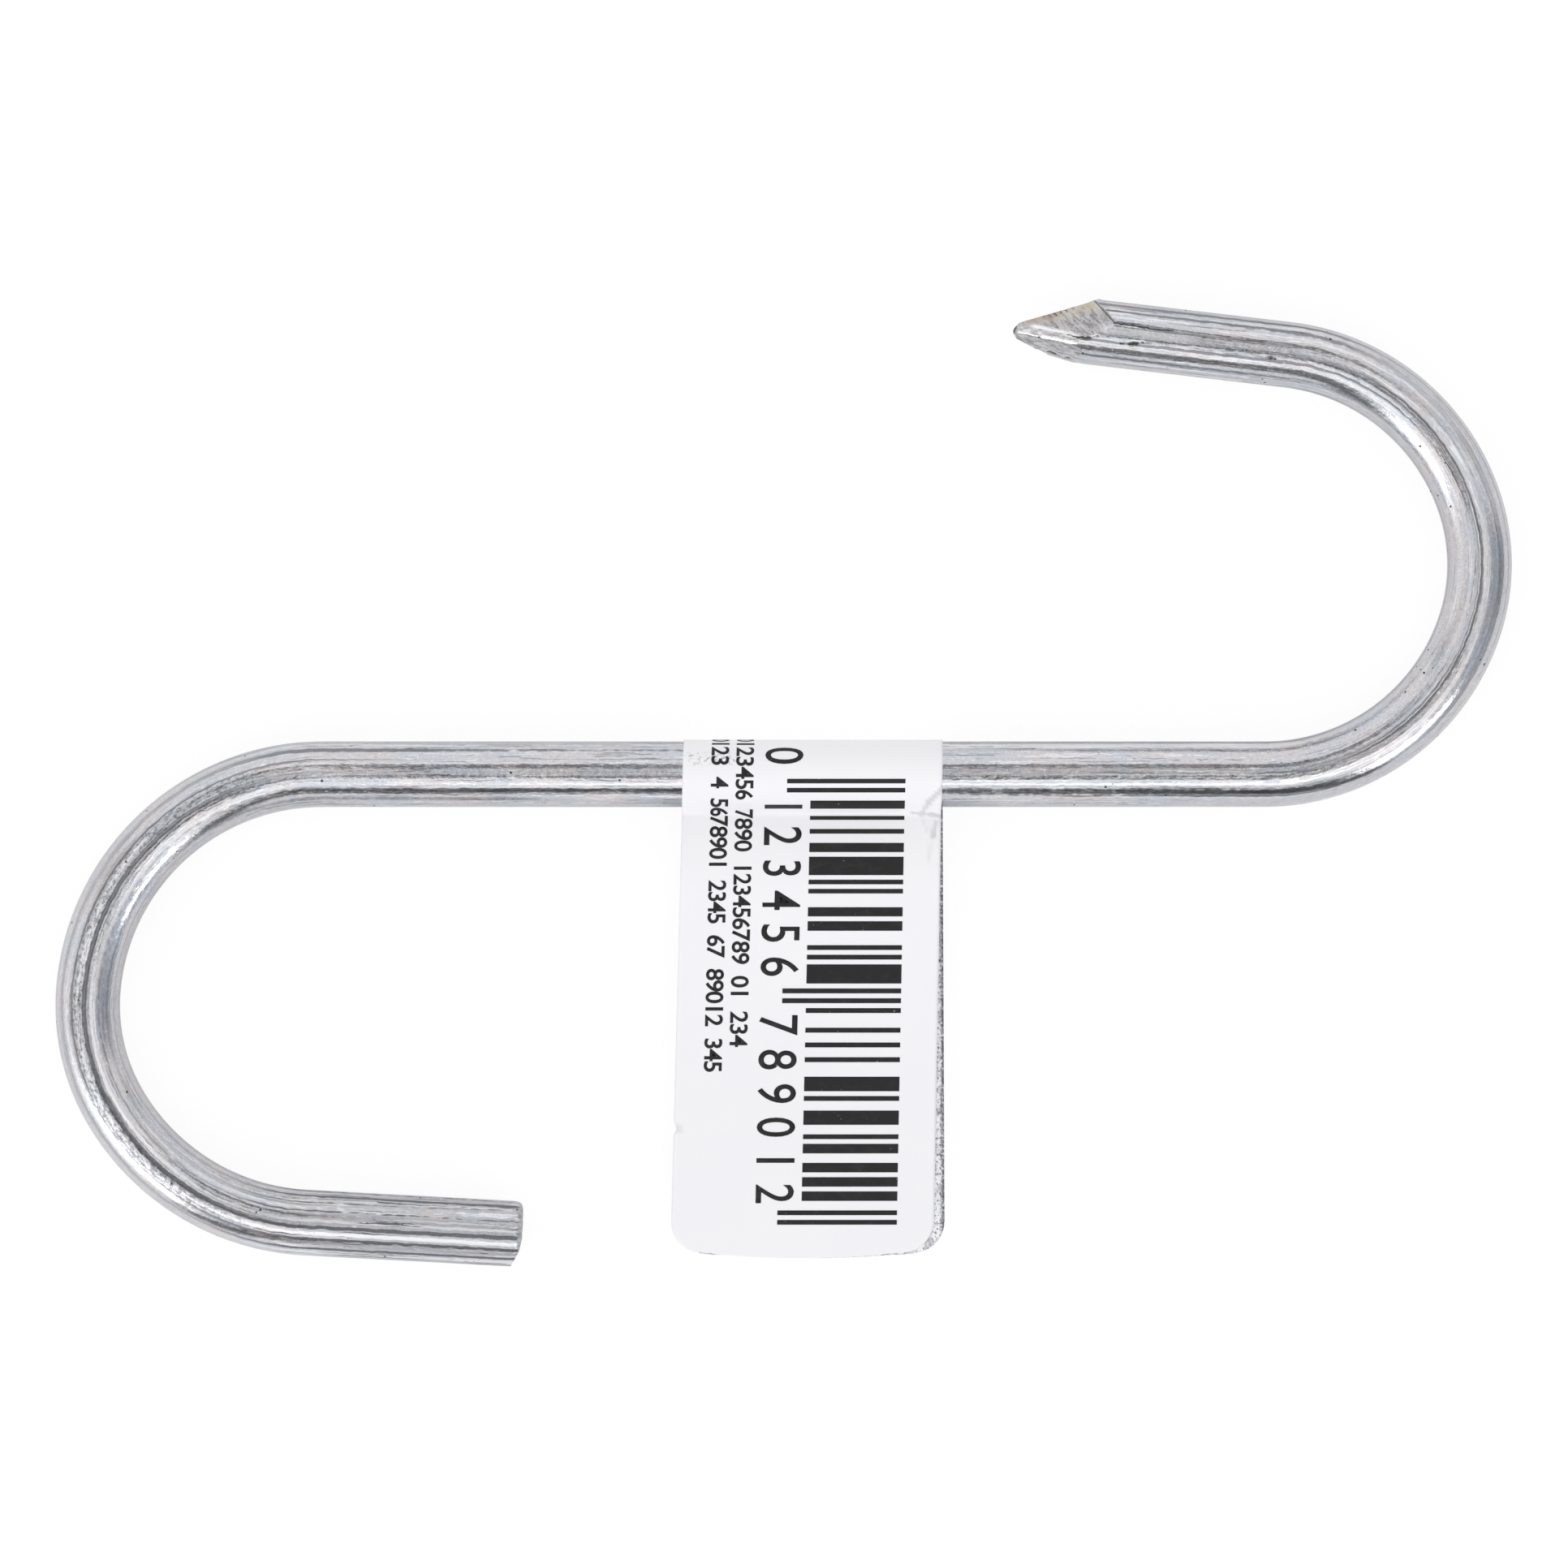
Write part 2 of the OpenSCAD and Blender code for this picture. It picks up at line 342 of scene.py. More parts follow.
class Graph:
    """The nodes of one material or world."""

    def __init__(self, tree):
        self.tree = tree
        tree.nodes.clear()

    def add(self, kind, settings=None, values=None, output=0):
        """Adds a node with its settings, gives its sockets their values or links, and returns one output."""
        node = self.tree.nodes.new(kind)
        for name, setting in (settings or {}).items():
            if name == "stops":
                self.ramp(node.color_ramp, setting)
            else:
                setattr(node, name, setting)
        for name, value in (values or {}).items():
            if isinstance(value, Value):
                self.tree.links.new(value.socket, node.inputs[name])
            else:
                node.inputs[name].default_value = value
        return Value(self, node.outputs[output]) if node.outputs else node

    @staticmethod
    def ramp(ramp, stops):
        """Sets the stops of a colour ramp, each a place and a grey."""
        while len(ramp.elements) < len(stops):
            ramp.elements.new(1.0)
        for element, (place, grey) in zip(ramp.elements, stops):
            element.position = place
            element.color = (grey, grey, grey, 1)

    def noise(self, where, scale, detail=2.0, roughness=0.5):
        """Noise from about 0 to 1 on coordinates that are stretched by a scale for each axis."""
        stretched = self.vector("MULTIPLY", where, scale)
        return self.add(
            "ShaderNodeTexNoise", {},
            {"Vector": stretched, "Scale": 1.0, "Detail": detail, "Roughness": roughness})

    def vector(self, operation, *vectors):
        """Vector sums."""
        return self.add("ShaderNodeVectorMath", {"operation": operation}, dict(enumerate(vectors)))

    def mix(self, share, first, second):
        """A blend of two colours."""
        return self.add(
            "ShaderNodeMix", {"data_type": "RGBA"},
            {0: share, 6: full(first), 7: full(second)}, output=2)

    def axis(self, where, number):
        """One axis of a vector."""
        return self.add("ShaderNodeSeparateXYZ", {}, {0: where}, output=number)

    def attribute(self, name, output="Fac"):
        """An attribute of the mesh, as a number or a vector."""
        return self.add("ShaderNodeAttribute", {"attribute_name": name}, output=output)


def full(value):
    """A colour with its alpha, unless it is a link."""
    return value if isinstance(value, Value) else (*value, 1)


def material(name):
    """A new material and its graph."""
    made = bpy.data.materials.new(name)
    made.use_nodes = True
    return made, Graph(made.node_tree)


def surface(graph, values):
    """Ends a material in one principled shader."""
    shader = graph.add("ShaderNodeBsdfPrincipled", {}, values)
    graph.add("ShaderNodeOutputMaterial", {}, {"Surface": shader})


# The wire

CAP_RINGS = 9
FINE_STEP = 0.1 * MM
PLAIN_STEP = 0.6 * MM
POINT_LENGTH = 9.5 * MM
END_LENGTH = 2.2 * MM
FACET_GRID = 0.09 * MM
FACET_EDGE = 0.035 * MM
WELD = 0.003 * MM
CUT_GRIP = 0.0002 * MM
TORN_FACET = 9
NOSE_FACET = 10

# Each facet of the point is a direction from the crest round the leg, a slope, and a distance from the axis
FACETS = [
    (0, 22.6, -0.13),
    (60.9, 14.6, 0.41),
    (-60.9, 14.6, 0.41),
    (105, 20, 0.59),
    (-105, 20, 0.59),
    (140, 16.9, 0.77),
    (-140, 16.9, 0.77),
    (180, 8, 1.62),
]

# Middle of the nose below the leg's axis, and the tilts and numbers of the flats that blunt it
NOSE_MIDDLE = 0.568 * MM
NOSE_CUTS = ((50, 16), (70, 12), (90, 1))

# The torn corner of the blunt end, as points along and into the leg, from the middle of the end to its side
TEAR = ((0.0, 1.86), (0.16, 0.97), (0.64, 0.0))

# Length over which the calm sides of a bend begin
BEND_FADE = 9 * MM

# The dark line that runs into the torn corner, and its width
END_LINE = ((0.05, 0.98), (0.50, 1.12))
END_LINE_WIDTH = 0.08

# Dents on the side of the point that faces up, in millimetres back from the nose and towards the crest:
# the two ends of each, its width, its depth and how dark it is painted: grime in gouges, painted shade in the
# notch and round the nose
DENTS = [
    (1.7, 0.02, 3.7, -0.14, 0.06, 0.008, 0.3),
    # These six run along the notch under the upper facets: their dark is painted shade in the notch
    (2.8, -0.44, 3.8, -0.50, 0.05, 0.01, 0.6),
    (3.7, -0.50, 4.4, -0.60, 0.08, 0.03, 0.9),
    (4.3, -0.60, 5.2, -0.54, 0.12, 0.05, 1.0),
    (5.2, -0.52, 5.8, -0.36, 0.06, 0.03, 0.8),
    (1.57, -0.55, 3.03, -0.67, 0.09, 0.004, 0.38),
    (3.03, -0.67, 4.15, -0.73, 0.09, 0.004, 0.38),
    (7.4, -0.70, 8.9, -0.45, 0.06, 0.03, 1.0),
    (7.95, -0.69, 8.5, -0.57, 0.13, 0.05, 1.0),
    (6.78, 0.66, 10.6, 0.54, 0.14, 0.03, 0.9),
    (10.6, 0.54, 19.0, 0.46, 0.11, 0.012, 0.5),
    (17.6, -0.30, 17.75, -0.62, 0.08, 0.02, 0.75),
    (18.05, -0.34, 18.15, -0.60, 0.08, 0.02, 0.75),
    # These two press nothing and only paint shade: a dark rim round the nose and a dark line along the point's
    # lower edge behind it
    (0.03, -0.85, 0.10, -0.15, 0.20, 0.0, 0.80),
    (0.10, -0.95, 0.9, -1.30, 0.10, 0.0, 0.62),
    (1.2, 0.42, 1.5, 0.52, 0.07, 0.01, 0.5),
    (1.75, 0.68, 2.0, 0.60, 0.06, 0.02, 0.6),
    (2.15, 0.78, 2.45, 0.62, 0.09, 0.03, 0.6),
    (2.55, 1.02, 2.85, 0.78, 0.08, 0.03, 0.9),
    (2.95, 1.16, 3.15, 0.95, 0.08, 0.03, 0.9),
    (3.3, 1.33, 3.45, 1.12, 0.07, 0.03, 0.7),
    (3.7, 1.46, 3.9, 1.38, 0.06, 0.01, 0.5),
    (2.5, -1.70, 3.1, -1.84, 0.06, 0.02, 0.75),
    (3.2, -1.80, 3.35, -1.98, 0.05, 0.02, 0.75),
    (3.75, -2.0, 4.0, -1.98, 0.05, 0.02, 0.7),
    (1.6, -1.35, 3.6, -1.78, 0.07, 0.01, 0.35),
    (0.8, -0.95, 3.2, -1.35, 0.12, 0.004, 0.22),
    (4.65, -1.02, 4.75, -1.20, 0.05, 0.03, 0.6),
    (4.87, -1.04, 4.97, -1.22, 0.05, 0.03, 0.6),
    (5.09, -1.06, 5.19, -1.24, 0.05, 0.03, 0.6),
    (4.3, 0.62, 5.5, -0.02, 0.05, 0.012, 0.35),
    (3.6, 0.75, 4.6, 0.2, 0.05, 0.012, 0.3),
]

# The burr that the pinch left at the top of the point: its place back from the nose and its size
BURR_BACK = 5.25 * MM
BURR_HALF_LENGTH = 0.30 * MM
BURR_HALF_WIDTH = 0.42 * MM
BURR_BLUR = 0.22 * MM
BURR_HEIGHT = 0.08 * MM

# The upper facets end at a line instead of running out in an ellipse: its two ends, and the width of its step
FACET_END = ((5.15, 2.2), (6.79, 0.67))
FACET_STEP = 0.12

# The polished ridge under each upper facet, which also carries a painted highlight, and the number of rounds that
# smooth the ridges below it
RIDGE = ((0.9, -0.1), (5.3, -0.62))
RIDGE_WIDTH = 0.22
RIDGE_REACH = 0.32
FORGED = (4, 5, 6, 7, 8, 10)
FORGED_ROUNDS = 16
FORGED_RINGS = 7
LOWER_ROUNDS = 45
LOWER_START = 1.7
STAIN_LINE = ((1.0, 0.5), (5.4, 2.0))

# The patch behind the facets that is rubbed paler
RUBBED = ((6.4, 0.12), (12.0, 0.08))
RUBBED_WIDTH = 0.5
RUBBED_SHARE = 0.6


def wire_route(sizes):
    """The wire's middle line from the blunt end to the nose, with the shank heading along X."""
    turns = sizes.blunt_leg_turn + sizes.blunt_crown_turn + sizes.blunt_foot_turn
    return Route((0, 0), turns, [
        (sizes.blunt_leg, 0),
        arc(sizes.blunt_leg_radius, -sizes.blunt_leg_turn),
        arc(sizes.blunt_crown_radius, -sizes.blunt_crown_turn),
        arc(sizes.blunt_foot_radius, -sizes.blunt_foot_turn),
        (sizes.shank, 0),
        arc(sizes.point_foot_radius, sizes.point_foot_turn),
        arc(sizes.point_crown_radius, sizes.point_crown_turn),
        arc(sizes.point_leg_radius, sizes.point_leg_turn),
        (sizes.point_leg, 0),
    ])


def wire_radius(sizes, route, distance):
    """The wire's radius at a distance along it: bending has drawn it thinner at each crown."""
    radius = sizes.diameter / 2
    for first, last in ((1, 4), (5, 8)):
        start = route.starts[first][0]
        part = (distance - start) / (route.starts[last][0] - start)
        if 0 < part < 1:
            radius -= sizes.thinning * math.sin(math.pi * part) ** 2
    return radius


def rings(sizes, route):
    """Where the wire's rings stand, each a distance along it and a radius, from the middle of its blunt end."""
    flat = sizes.diameter / 2 - sizes.rim
    made = [(0.0, flat * number / CAP_RINGS) for number in range(CAP_RINGS + 1)]
    steps = CAP_RINGS // 2
    for number in range(1, steps + 1):
        turn = math.pi / 2 * number / steps
        made.append((sizes.rim * (1 - math.cos(turn)), flat + sizes.rim * math.sin(turn)))
    distance = sizes.rim
    while distance < route.length:
        fine = distance < END_LENGTH or distance > route.length - POINT_LENGTH
        distance = min(distance + (FINE_STEP if fine else PLAIN_STEP), route.length)
        made.append((distance, wire_radius(sizes, route, distance)))
    return [*made, (route.length, 0.0)]


def turn_rod(bm, sizes, places):
    """Draws the rod's outline through its rings, and turns it round the X axis."""
    vert = bmesh.ops.create_vert(bm, co=(*places[0], 0))["vert"][0]
    for place in places[1:]:
        step = Vector((*place, 0)) - vert.co
        vert = bmesh.ops.extrude_vert_indiv(bm, verts=[vert])["verts"][0]
        bmesh.ops.translate(bm, verts=[vert], vec=step)
    outline = list(bm.verts) + list(bm.edges)
    bmesh.ops.spin(
        bm, geom=outline, cent=(0, 0, 0), axis=(1, 0, 0), angle=2 * math.pi, steps=sizes.sides, use_merge=True)
    bmesh.ops.remove_doubles(bm, verts=bm.verts, dist=WELD)
    bmesh.ops.recalc_face_normals(bm, faces=bm.faces)


def cut_flat(bm, faces, point, normal, mark, facet):
    """Cuts away what lies in front of a plane, closes the cut and marks the new face."""
    cut = bmesh.ops.bisect_plane(
        bm, geom=around(faces), dist=CUT_GRIP, plane_co=point, plane_no=normal, clear_outer=True)
    edges = [edge for edge in edges_of(cut["geom_cut"]) if edge.is_valid and len(edge.link_faces) == 1]
    for face in bmesh.ops.edgeloop_fill(bm, edges=edges)["faces"]:
        face[mark] = facet


def pinch_point(bm, sizes, route, mark):
    """Cuts the facets of the point and rounds its nose."""
    nose = route.length

    def past(start):
        return [face for face in bm.faces if max(vert.co.x for vert in face.verts) > start]

    for number, (direction, slope, distance) in enumerate(FACETS, 1):
        turn = math.radians(direction)
        tilt = math.radians(slope)
        out = Vector((0, -math.cos(turn), math.sin(turn)))
        normal = Vector((math.sin(tilt), 0, 0)) + math.cos(tilt) * out
        cut_flat(
            bm, past(nose - POINT_LENGTH), Vector((nose, 0, 0)) + distance * MM * out, normal, mark, number)
    middle = Vector((nose - sizes.nose, NOSE_MIDDLE, 0))
    for tilt_degrees, cuts in NOSE_CUTS:
        tilt = math.radians(tilt_degrees)
        for number in range(cuts):
            turn = 2 * math.pi * (number + 0.5) / cuts
            normal = Vector((math.sin(tilt), math.cos(tilt) * math.cos(turn), math.cos(tilt) * math.sin(turn)))
            cut_flat(
                bm, past(nose - 4 * sizes.nose), middle + sizes.nose * normal, normal, mark, NOSE_FACET)


def shear_corner(bm, sizes, mark):
    """Cuts the torn corner off the blunt end, in two flats."""
    radius = sizes.diameter / 2
    for number in range(2):
        near, far = (Vector((run * MM, radius - depth * MM, 0)) for run, depth in TEAR[number:number + 2])
        normal = Vector((near.y - far.y, far.x - near.x, 0)).normalized()
        faces = [face for face in bm.faces if face.calc_center_bounds().x < END_LENGTH]
        cut_flat(bm, faces, near, normal, mark, TORN_FACET)


def soften_cuts(bm, mark):
    """Rounds the edges between the cut faces and the drawn wire a little."""
    edges = [
        edge for edge in bm.edges
        if len(edge.link_faces) == 2
        and edge.link_faces[0][mark] != edge.link_faces[1][mark]
        and edge.calc_face_angle(0) > math.radians(6)
    ]
    bmesh.ops.bevel(
        bm, geom=edges, offset=FACET_EDGE, offset_type="OFFSET", affect="EDGES",
        segments=2, profile=0.5, material=-1, clamp_overlap=True)


def score_facet_end(bm, route, mark):
    """Scores the upper facets along the two edges of the step where they end."""
    start, end = (Vector((route.length - back * MM, -up * MM, 0)) for back, up in FACET_END)
    run = (end - start).normalized()
    across = Vector((-run.y, run.x, 0))
    if across.x > 0:
        across = -across
    for step in (0, FACET_STEP * MM):
        upper = [face for face in bm.faces if face[mark] in (2, 3)]
        bmesh.ops.bisect_plane(
            bm, geom=around(upper), dist=CUT_GRIP, plane_co=start + step * across, plane_no=across)


def slice_cuts(bm, mark, at_point):
    """Slices the cut faces of one end into a fine grid, so that dents can be pressed in them."""
    cut = [face for face in bm.faces if face[mark] and (face.calc_center_bounds().x > POINT_LENGTH) == at_point]
    geometry = around(cut)
    for axis in range(3):
        places = [vert.co[axis] for vert in verts_of(geometry)]
        normal = Vector([float(axis == number) for number in range(3)])
        place = math.floor(min(places) / FACET_GRID) * FACET_GRID
        while place < max(places):
            geometry = bmesh.ops.bisect_plane(
                bm, geom=geometry, dist=CUT_GRIP, plane_co=normal * place, plane_no=normal)["geom"]
            place += FACET_GRID


def draw_relief(vert):
    """How far the die's draw lines raise the drawn wire at a point, in metres."""
    x, y, z = vert / MM
    broad = noise.noise(Vector((x * 0.018, y * 1.25, z * 1.25)))
    fine = noise.noise(Vector((x * 0.05 + 31, y * 3.6, z * 3.6)))
    lumps = noise.noise(Vector((x * 0.9 + 11, y * 1.4, z * 1.4)))
    return (0.011 * broad + 0.007 * fine + 0.003 * lumps) * MM


def cut_relief(vert):
    """How far a pinched or sheared face is torn up at a point, in metres."""
    x, y, z = vert / MM
    torn = noise.noise(Vector((x * 0.8 - y * 0.6, y * 2.8 + x * 2.2, z * 1.5)))
    grit = noise.noise(Vector((x * 5, y * 5, z * 5)) + Vector((5, 9, 2)))
    return (0.012 * torn + 0.004 * grit) * MM


def beyond_facet_end(back, up):
    """How far a point on an upper facet lies behind the line where the facet ends, in millimetres."""
    start, end = FACET_END
    run = math.hypot(end[0] - start[0], end[1] - start[1])
    return ((back - start[0]) * (start[1] - end[1]) + (up - start[1]) * (end[0] - start[0])) / run


def end_facets(bm, sizes, route, mark):
    """Lifts the upper facets back to the drawn wire behind the line where the cutters left them."""
    radius = sizes.diameter / 2
    for face_mark in (2, 3):
        turn = math.radians(FACETS[face_mark - 1][0])
        out = Vector((0, -math.cos(turn), math.sin(turn)))
        for vert in {vert for face in bm.faces if face[mark] == face_mark for vert in face.verts}:
            past = beyond_facet_end((route.length - vert.co.x) / MM, -vert.co.y / MM)
            share = smooth(past, 0, FACET_STEP)
            flat = Vector((0, vert.co.y, vert.co.z))
            lift = -flat.dot(out) + math.sqrt(max(flat.dot(out) ** 2 - flat.length_squared + radius ** 2, 0))
            if share and lift > 0:
                vert.co += share * lift * out
        for face in bm.faces:
            if face[mark] == face_mark:
                middle = face.calc_center_bounds()
                if beyond_facet_end((route.length - middle.x) / MM, -middle.y / MM) > FACET_STEP:
                    face[mark] = 0


def smooth_forged(bm, route, mark):
    """Smooths the ridges round the lower facets, which the cutters pressed instead of cutting."""
    near = {vert for face in bm.faces if face[mark] in FORGED for vert in face.verts}
    for _ in range(FORGED_RINGS):
        near |= {other for vert in near for edge in vert.link_edges for other in edge.verts}
    soft = []
    for vert in near:
        off_ridge, _ = segment_distance((route.length - vert.co.x) / MM, -vert.co.y / MM, *RIDGE)
        if off_ridge < RIDGE_REACH or all(face[mark] in (0, *FORGED) for face in vert.link_faces):
            soft.append(vert)
    lower = [vert for vert in soft if vert.co.y > 0 and (route.length - vert.co.x) / MM > LOWER_START]
    for rounds, verts in ((FORGED_ROUNDS, soft), (LOWER_ROUNDS, lower)):
        for _ in range(rounds):
            bmesh.ops.smooth_vert(bm, verts=verts, factor=0.5, use_axis_x=True, use_axis_y=True, use_axis_z=True)


def press_marks(bm, sizes, route, mark):
    """Raises the draw lines, the torn faces and the burr, presses in the dents, and notes stains and dirt."""
    grime = bm.verts.layers.float.new("grime")
    cut = bm.verts.layers.float.new("cut")
    worn = bm.verts.layers.float.new("worn")
    stain = bm.verts.layers.float.new("stain")
    forged = bm.verts.layers.float.new("forged")
    rust = bm.verts.layers.float.new("rust")
    noise.seed_set(4)
    bm.normal_update()
    for vert in bm.verts:
        marks = [face[mark] for face in vert.link_faces]
        on_cut = sum(1 for one in marks if one and one not in FORGED) / len(marks)
        vert[forged] = sum(1 for one in marks if one in FORGED) / len(marks)
        x = vert.co.x
        at_end = x < sizes.rim * 1.2
        rise = cut_relief(vert.co) if on_cut or at_end else draw_relief(vert.co)
        if at_end:
            on_cut = max(on_cut, 1 - smooth(x, 0, 0.5 * sizes.rim))
        back = (route.length - x) / MM
        up = -vert.co.y / MM
        if x < END_LENGTH:
            off_line, _ = segment_distance(x / MM, vert.co.y / MM, *END_LINE)
            vert[grime] = 0.8 * bell(off_line, END_LINE_WIDTH) * smooth(vert.normal.z, 0, 0.3)
        if back < 19:
            shake = noise.noise_vector(vert.co / MM * 3.5) * 0.09
            ragged_back = back + shake.x
            ragged_up = up + shake.y
            for back_0, up_0, back_1, up_1, width, depth, dirt in DENTS:
                away, _ = segment_distance(ragged_back, ragged_up, (back_0, up_0), (back_1, up_1))
                if away < 2 * width and vert.normal.z > -0.3:
                    press = bell(away, width)
                    rise -= depth * MM * press
                    vert[grime] = max(vert[grime], dirt * press)
            # Painted highlight along the ridge under the upper facets, and the paler rubbed patch behind them
            along_ridge, part = segment_distance(back, up, *RIDGE)
            off_patch, _ = segment_distance(back, up, *RUBBED)
            vert[worn] = bell(along_ridge, RIDGE_WIDTH) * smooth(part, 0, 0.15) * (1 - smooth(part, 0.7, 1))
            vert[worn] = max(vert[worn], RUBBED_SHARE * bell(off_patch, RUBBED_WIDTH))
            on_cut *= 1 - vert[worn]
            rise *= 1 - vert[worn]
            off_crest, _ = segment_distance(back, up, *STAIN_LINE)
            vert[stain] = on_cut * (1 - smooth(off_crest, 0.2, 0.9))
            vert[rust] = 1 - smooth(back, 2.6, 3.8)
            # Painted shade: a dark line along the step where the upper facets end, on faces that look up
            off_step, _ = segment_distance(back, up, *FACET_END)
            vert[grime] = max(vert[grime], 0.7 * bell(off_step, 0.07) * smooth(vert.normal.z, 0, 0.3))
        vert[cut] = on_cut
        vert.co += rise * vert.normal
        # The burr is raised, and it is painted paler with half of the ridge's painted highlight
        if back < 7 and vert.co.y < 0:
            long = 1 - smooth(abs(back * MM - BURR_BACK), BURR_HALF_LENGTH, BURR_HALF_LENGTH + BURR_BLUR)
            wide = 1 - smooth(abs(vert.co.z), BURR_HALF_WIDTH, BURR_HALF_WIDTH + 2 * BURR_BLUR)
            burr = long * wide * smooth(-vert.co.y, 1.7 * MM, 2.0 * MM)
            vert.co.y -= BURR_HEIGHT * burr
            vert[worn] = max(vert[worn], 0.5 * burr)
            vert[cut] *= 1 - burr


def bend_share(route, distance):
    """How far a place on the wire lies inside one of its bends, from 0 to 1."""
    share = 0.0
    for first, last in ((1, 4), (5, 8)):
        start, end = route.starts[first][0], route.starts[last][0]
        share += smooth(distance, start, start + BEND_FADE) * (1 - smooth(distance, end - BEND_FADE, end))
    return share


def bend_wire(bm, sizes, route):
    """Bends the straight rod along its route, and keeps where each point was on the rod."""
    straight = bm.verts.layers.float_vector.new("straight")
    curved = bm.verts.layers.float.new("curved")
    calm = bm.verts.layers.float.new("calm")
    for vert in bm.verts:
        vert[straight] = vert.co / MM
        side = abs(vert.co.y) / sizes.diameter * 2
        vert[curved] = bend_share(route, vert.co.x)
        vert[calm] = vert[curved] * smooth(side, 0.22, 0.5)
        point = route.place(vert.co.x, vert.co.y)
        vert.co = Vector((point.x, point.y, vert.co.z))


def seat_wire(bm):
    """Moves the bent wire to where its CAD solid lies."""
    low = Vector([min(vert.co[axis] for vert in bm.verts) for axis in range(3)])
    lift = (WIRE_BOX[0].z + WIRE_BOX[1].z) / 2
    bmesh.ops.translate(
        bm, verts=bm.verts, vec=(WIRE_BOX[0].x - low.x, WIRE_BOX[0].y - low.y, lift))


def zinc_material(colours):
    """Drawn and galvanised wire, with pinched facets, stains and dirt."""
    made, graph = material("zinc_wire")
    rod = graph.attribute("straight", "Vector")
    cut = graph.attribute("cut")
    grime = graph.attribute("grime")

    # Draw lines run along the wire, and wander a little: long ones from the die, and shorter fine ones
    wander = graph.add(
        "ShaderNodeTexNoise", {}, {"Vector": rod, "Scale": 1.3, "Detail": 1.0}, output="Color")
    shift = graph.vector("MULTIPLY_ADD", wander, (0, 0.16, 0.16), (0, -0.08, -0.08))
    bent = graph.vector("ADD", rod, shift)
    long_lines = graph.noise(bent, (0.010, 2.3, 2.3), 1, 0.5)
    short_lines = graph.noise(bent, (0.15, 6.2, 6.2), 2, 0.6)
    lumps = graph.noise(rod, (1.3, 2.2, 2.2), 2, 0.6)
    spangle = graph.noise(rod, (2.8, 4.8, 4.8), 3, 0.7)
    ripples = graph.noise(rod, (6.5, 1.8, 1.8), 2, 0.6)
    grit = graph.noise(rod, (7.5, 9.5, 9.5), 2, 0.65)
    tint = graph.noise(rod, (0.3, 0.8, 0.8), 2, 0.5)
    dark_lines = (0.42 - long_lines).ease(0.0, 0.07) * 0.8 + (0.41 - short_lines).ease(0.0, 0.08) * 0.7
    pale_lines = (long_lines - 0.60).ease(0.0, 0.05) * 0.5 + (short_lines - 0.59).ease(0.0, 0.06) * 0.7
    forged = graph.attribute("forged")
    plain = 1 - forged

    # The blunt leg is duller than the rest, and the sides of the bends have fine speckles in place of lines
    dull = 1 - graph.axis(rod, 0).ease(9.0, 20.0)
    calm = graph.attribute("calm")
    lined = plain * (1 - calm * 0.6) * (1.15 + dull * 0.9)
    drawn = graph.mix(tint.ease(0.35, 0.65), colours.blue_zinc, colours.warm_zinc)
    drawn = graph.mix(0.55, drawn, colours.zinc)
    drawn = graph.mix((0.47 - spangle).ease(0.0, 0.25) * 0.5 * plain, drawn, (0.30, 0.30, 0.32))
    drawn = graph.mix((spangle - 0.54).ease(0.0, 0.2) * 0.6 * plain, drawn, (0.84, 0.84, 0.86))
    drawn = graph.mix(pale_lines * lined, drawn, (0.86, 0.86, 0.88))
    drawn = graph.mix(dark_lines * (0.35 + 1.1 * grit) * lined, drawn, colours.groove)
    speckled = plain * 0.10 + calm * 0.10
    drawn = graph.mix((0.47 - grit).ease(0.0, 0.12) * speckled, drawn, (0.26, 0.26, 0.28))
    drawn = graph.mix((grit - 0.53).ease(0.0, 0.12) * speckled, drawn, (0.92, 0.92, 0.94))
    drawn = graph.mix(dull * 0.12, drawn, colours.groove)

    # Lines that the bending tool left round the middle of each bend, and the rough band beside them on the first
    across = graph.axis(bent, 1)
    first = 1 - graph.axis(rod, 0).ease(70.0, 90.0)
    tool_lines = across.band(0.0, 0.05, 0.05) * 0.9 + across.band(0.2, 0.02, 0.05) * 0.5
    rough = (0.50 - spangle).ease(0.0, 0.08) * 0.6 + (0.45 - grit).ease(0.0, 0.1) * 0.25
    rough_band = across.band(0.95, 0.02, 0.05) * 0.75 + across.band(0.5, 0.36, 0.12) * rough
    tool_marks = (tool_lines * grit.ease(0.2, 0.45) + rough_band * first) * graph.attribute("curved")
    drawn = graph.mix(tool_marks, drawn, colours.groove)
    pressed = graph.mix(short_lines.ease(0.38, 0.6), (0.34, 0.33, 0.335), (0.64, 0.63, 0.63))
    drawn = graph.mix(forged * 0.8, drawn, pressed)

    # Small pits where the zinc has blistered
    pit_field = graph.add(
        "ShaderNodeTexVoronoi", {"feature": "F1"}, {"Vector": rod, "Scale": 1.1, "Randomness": 1.0})
    pit_choice = graph.noise(rod, (0.35, 0.5, 0.5), 1, 0.5).ease(0.5, 0.62)
    pits = (1 - pit_field.ease(0.07, 0.14)) * pit_choice

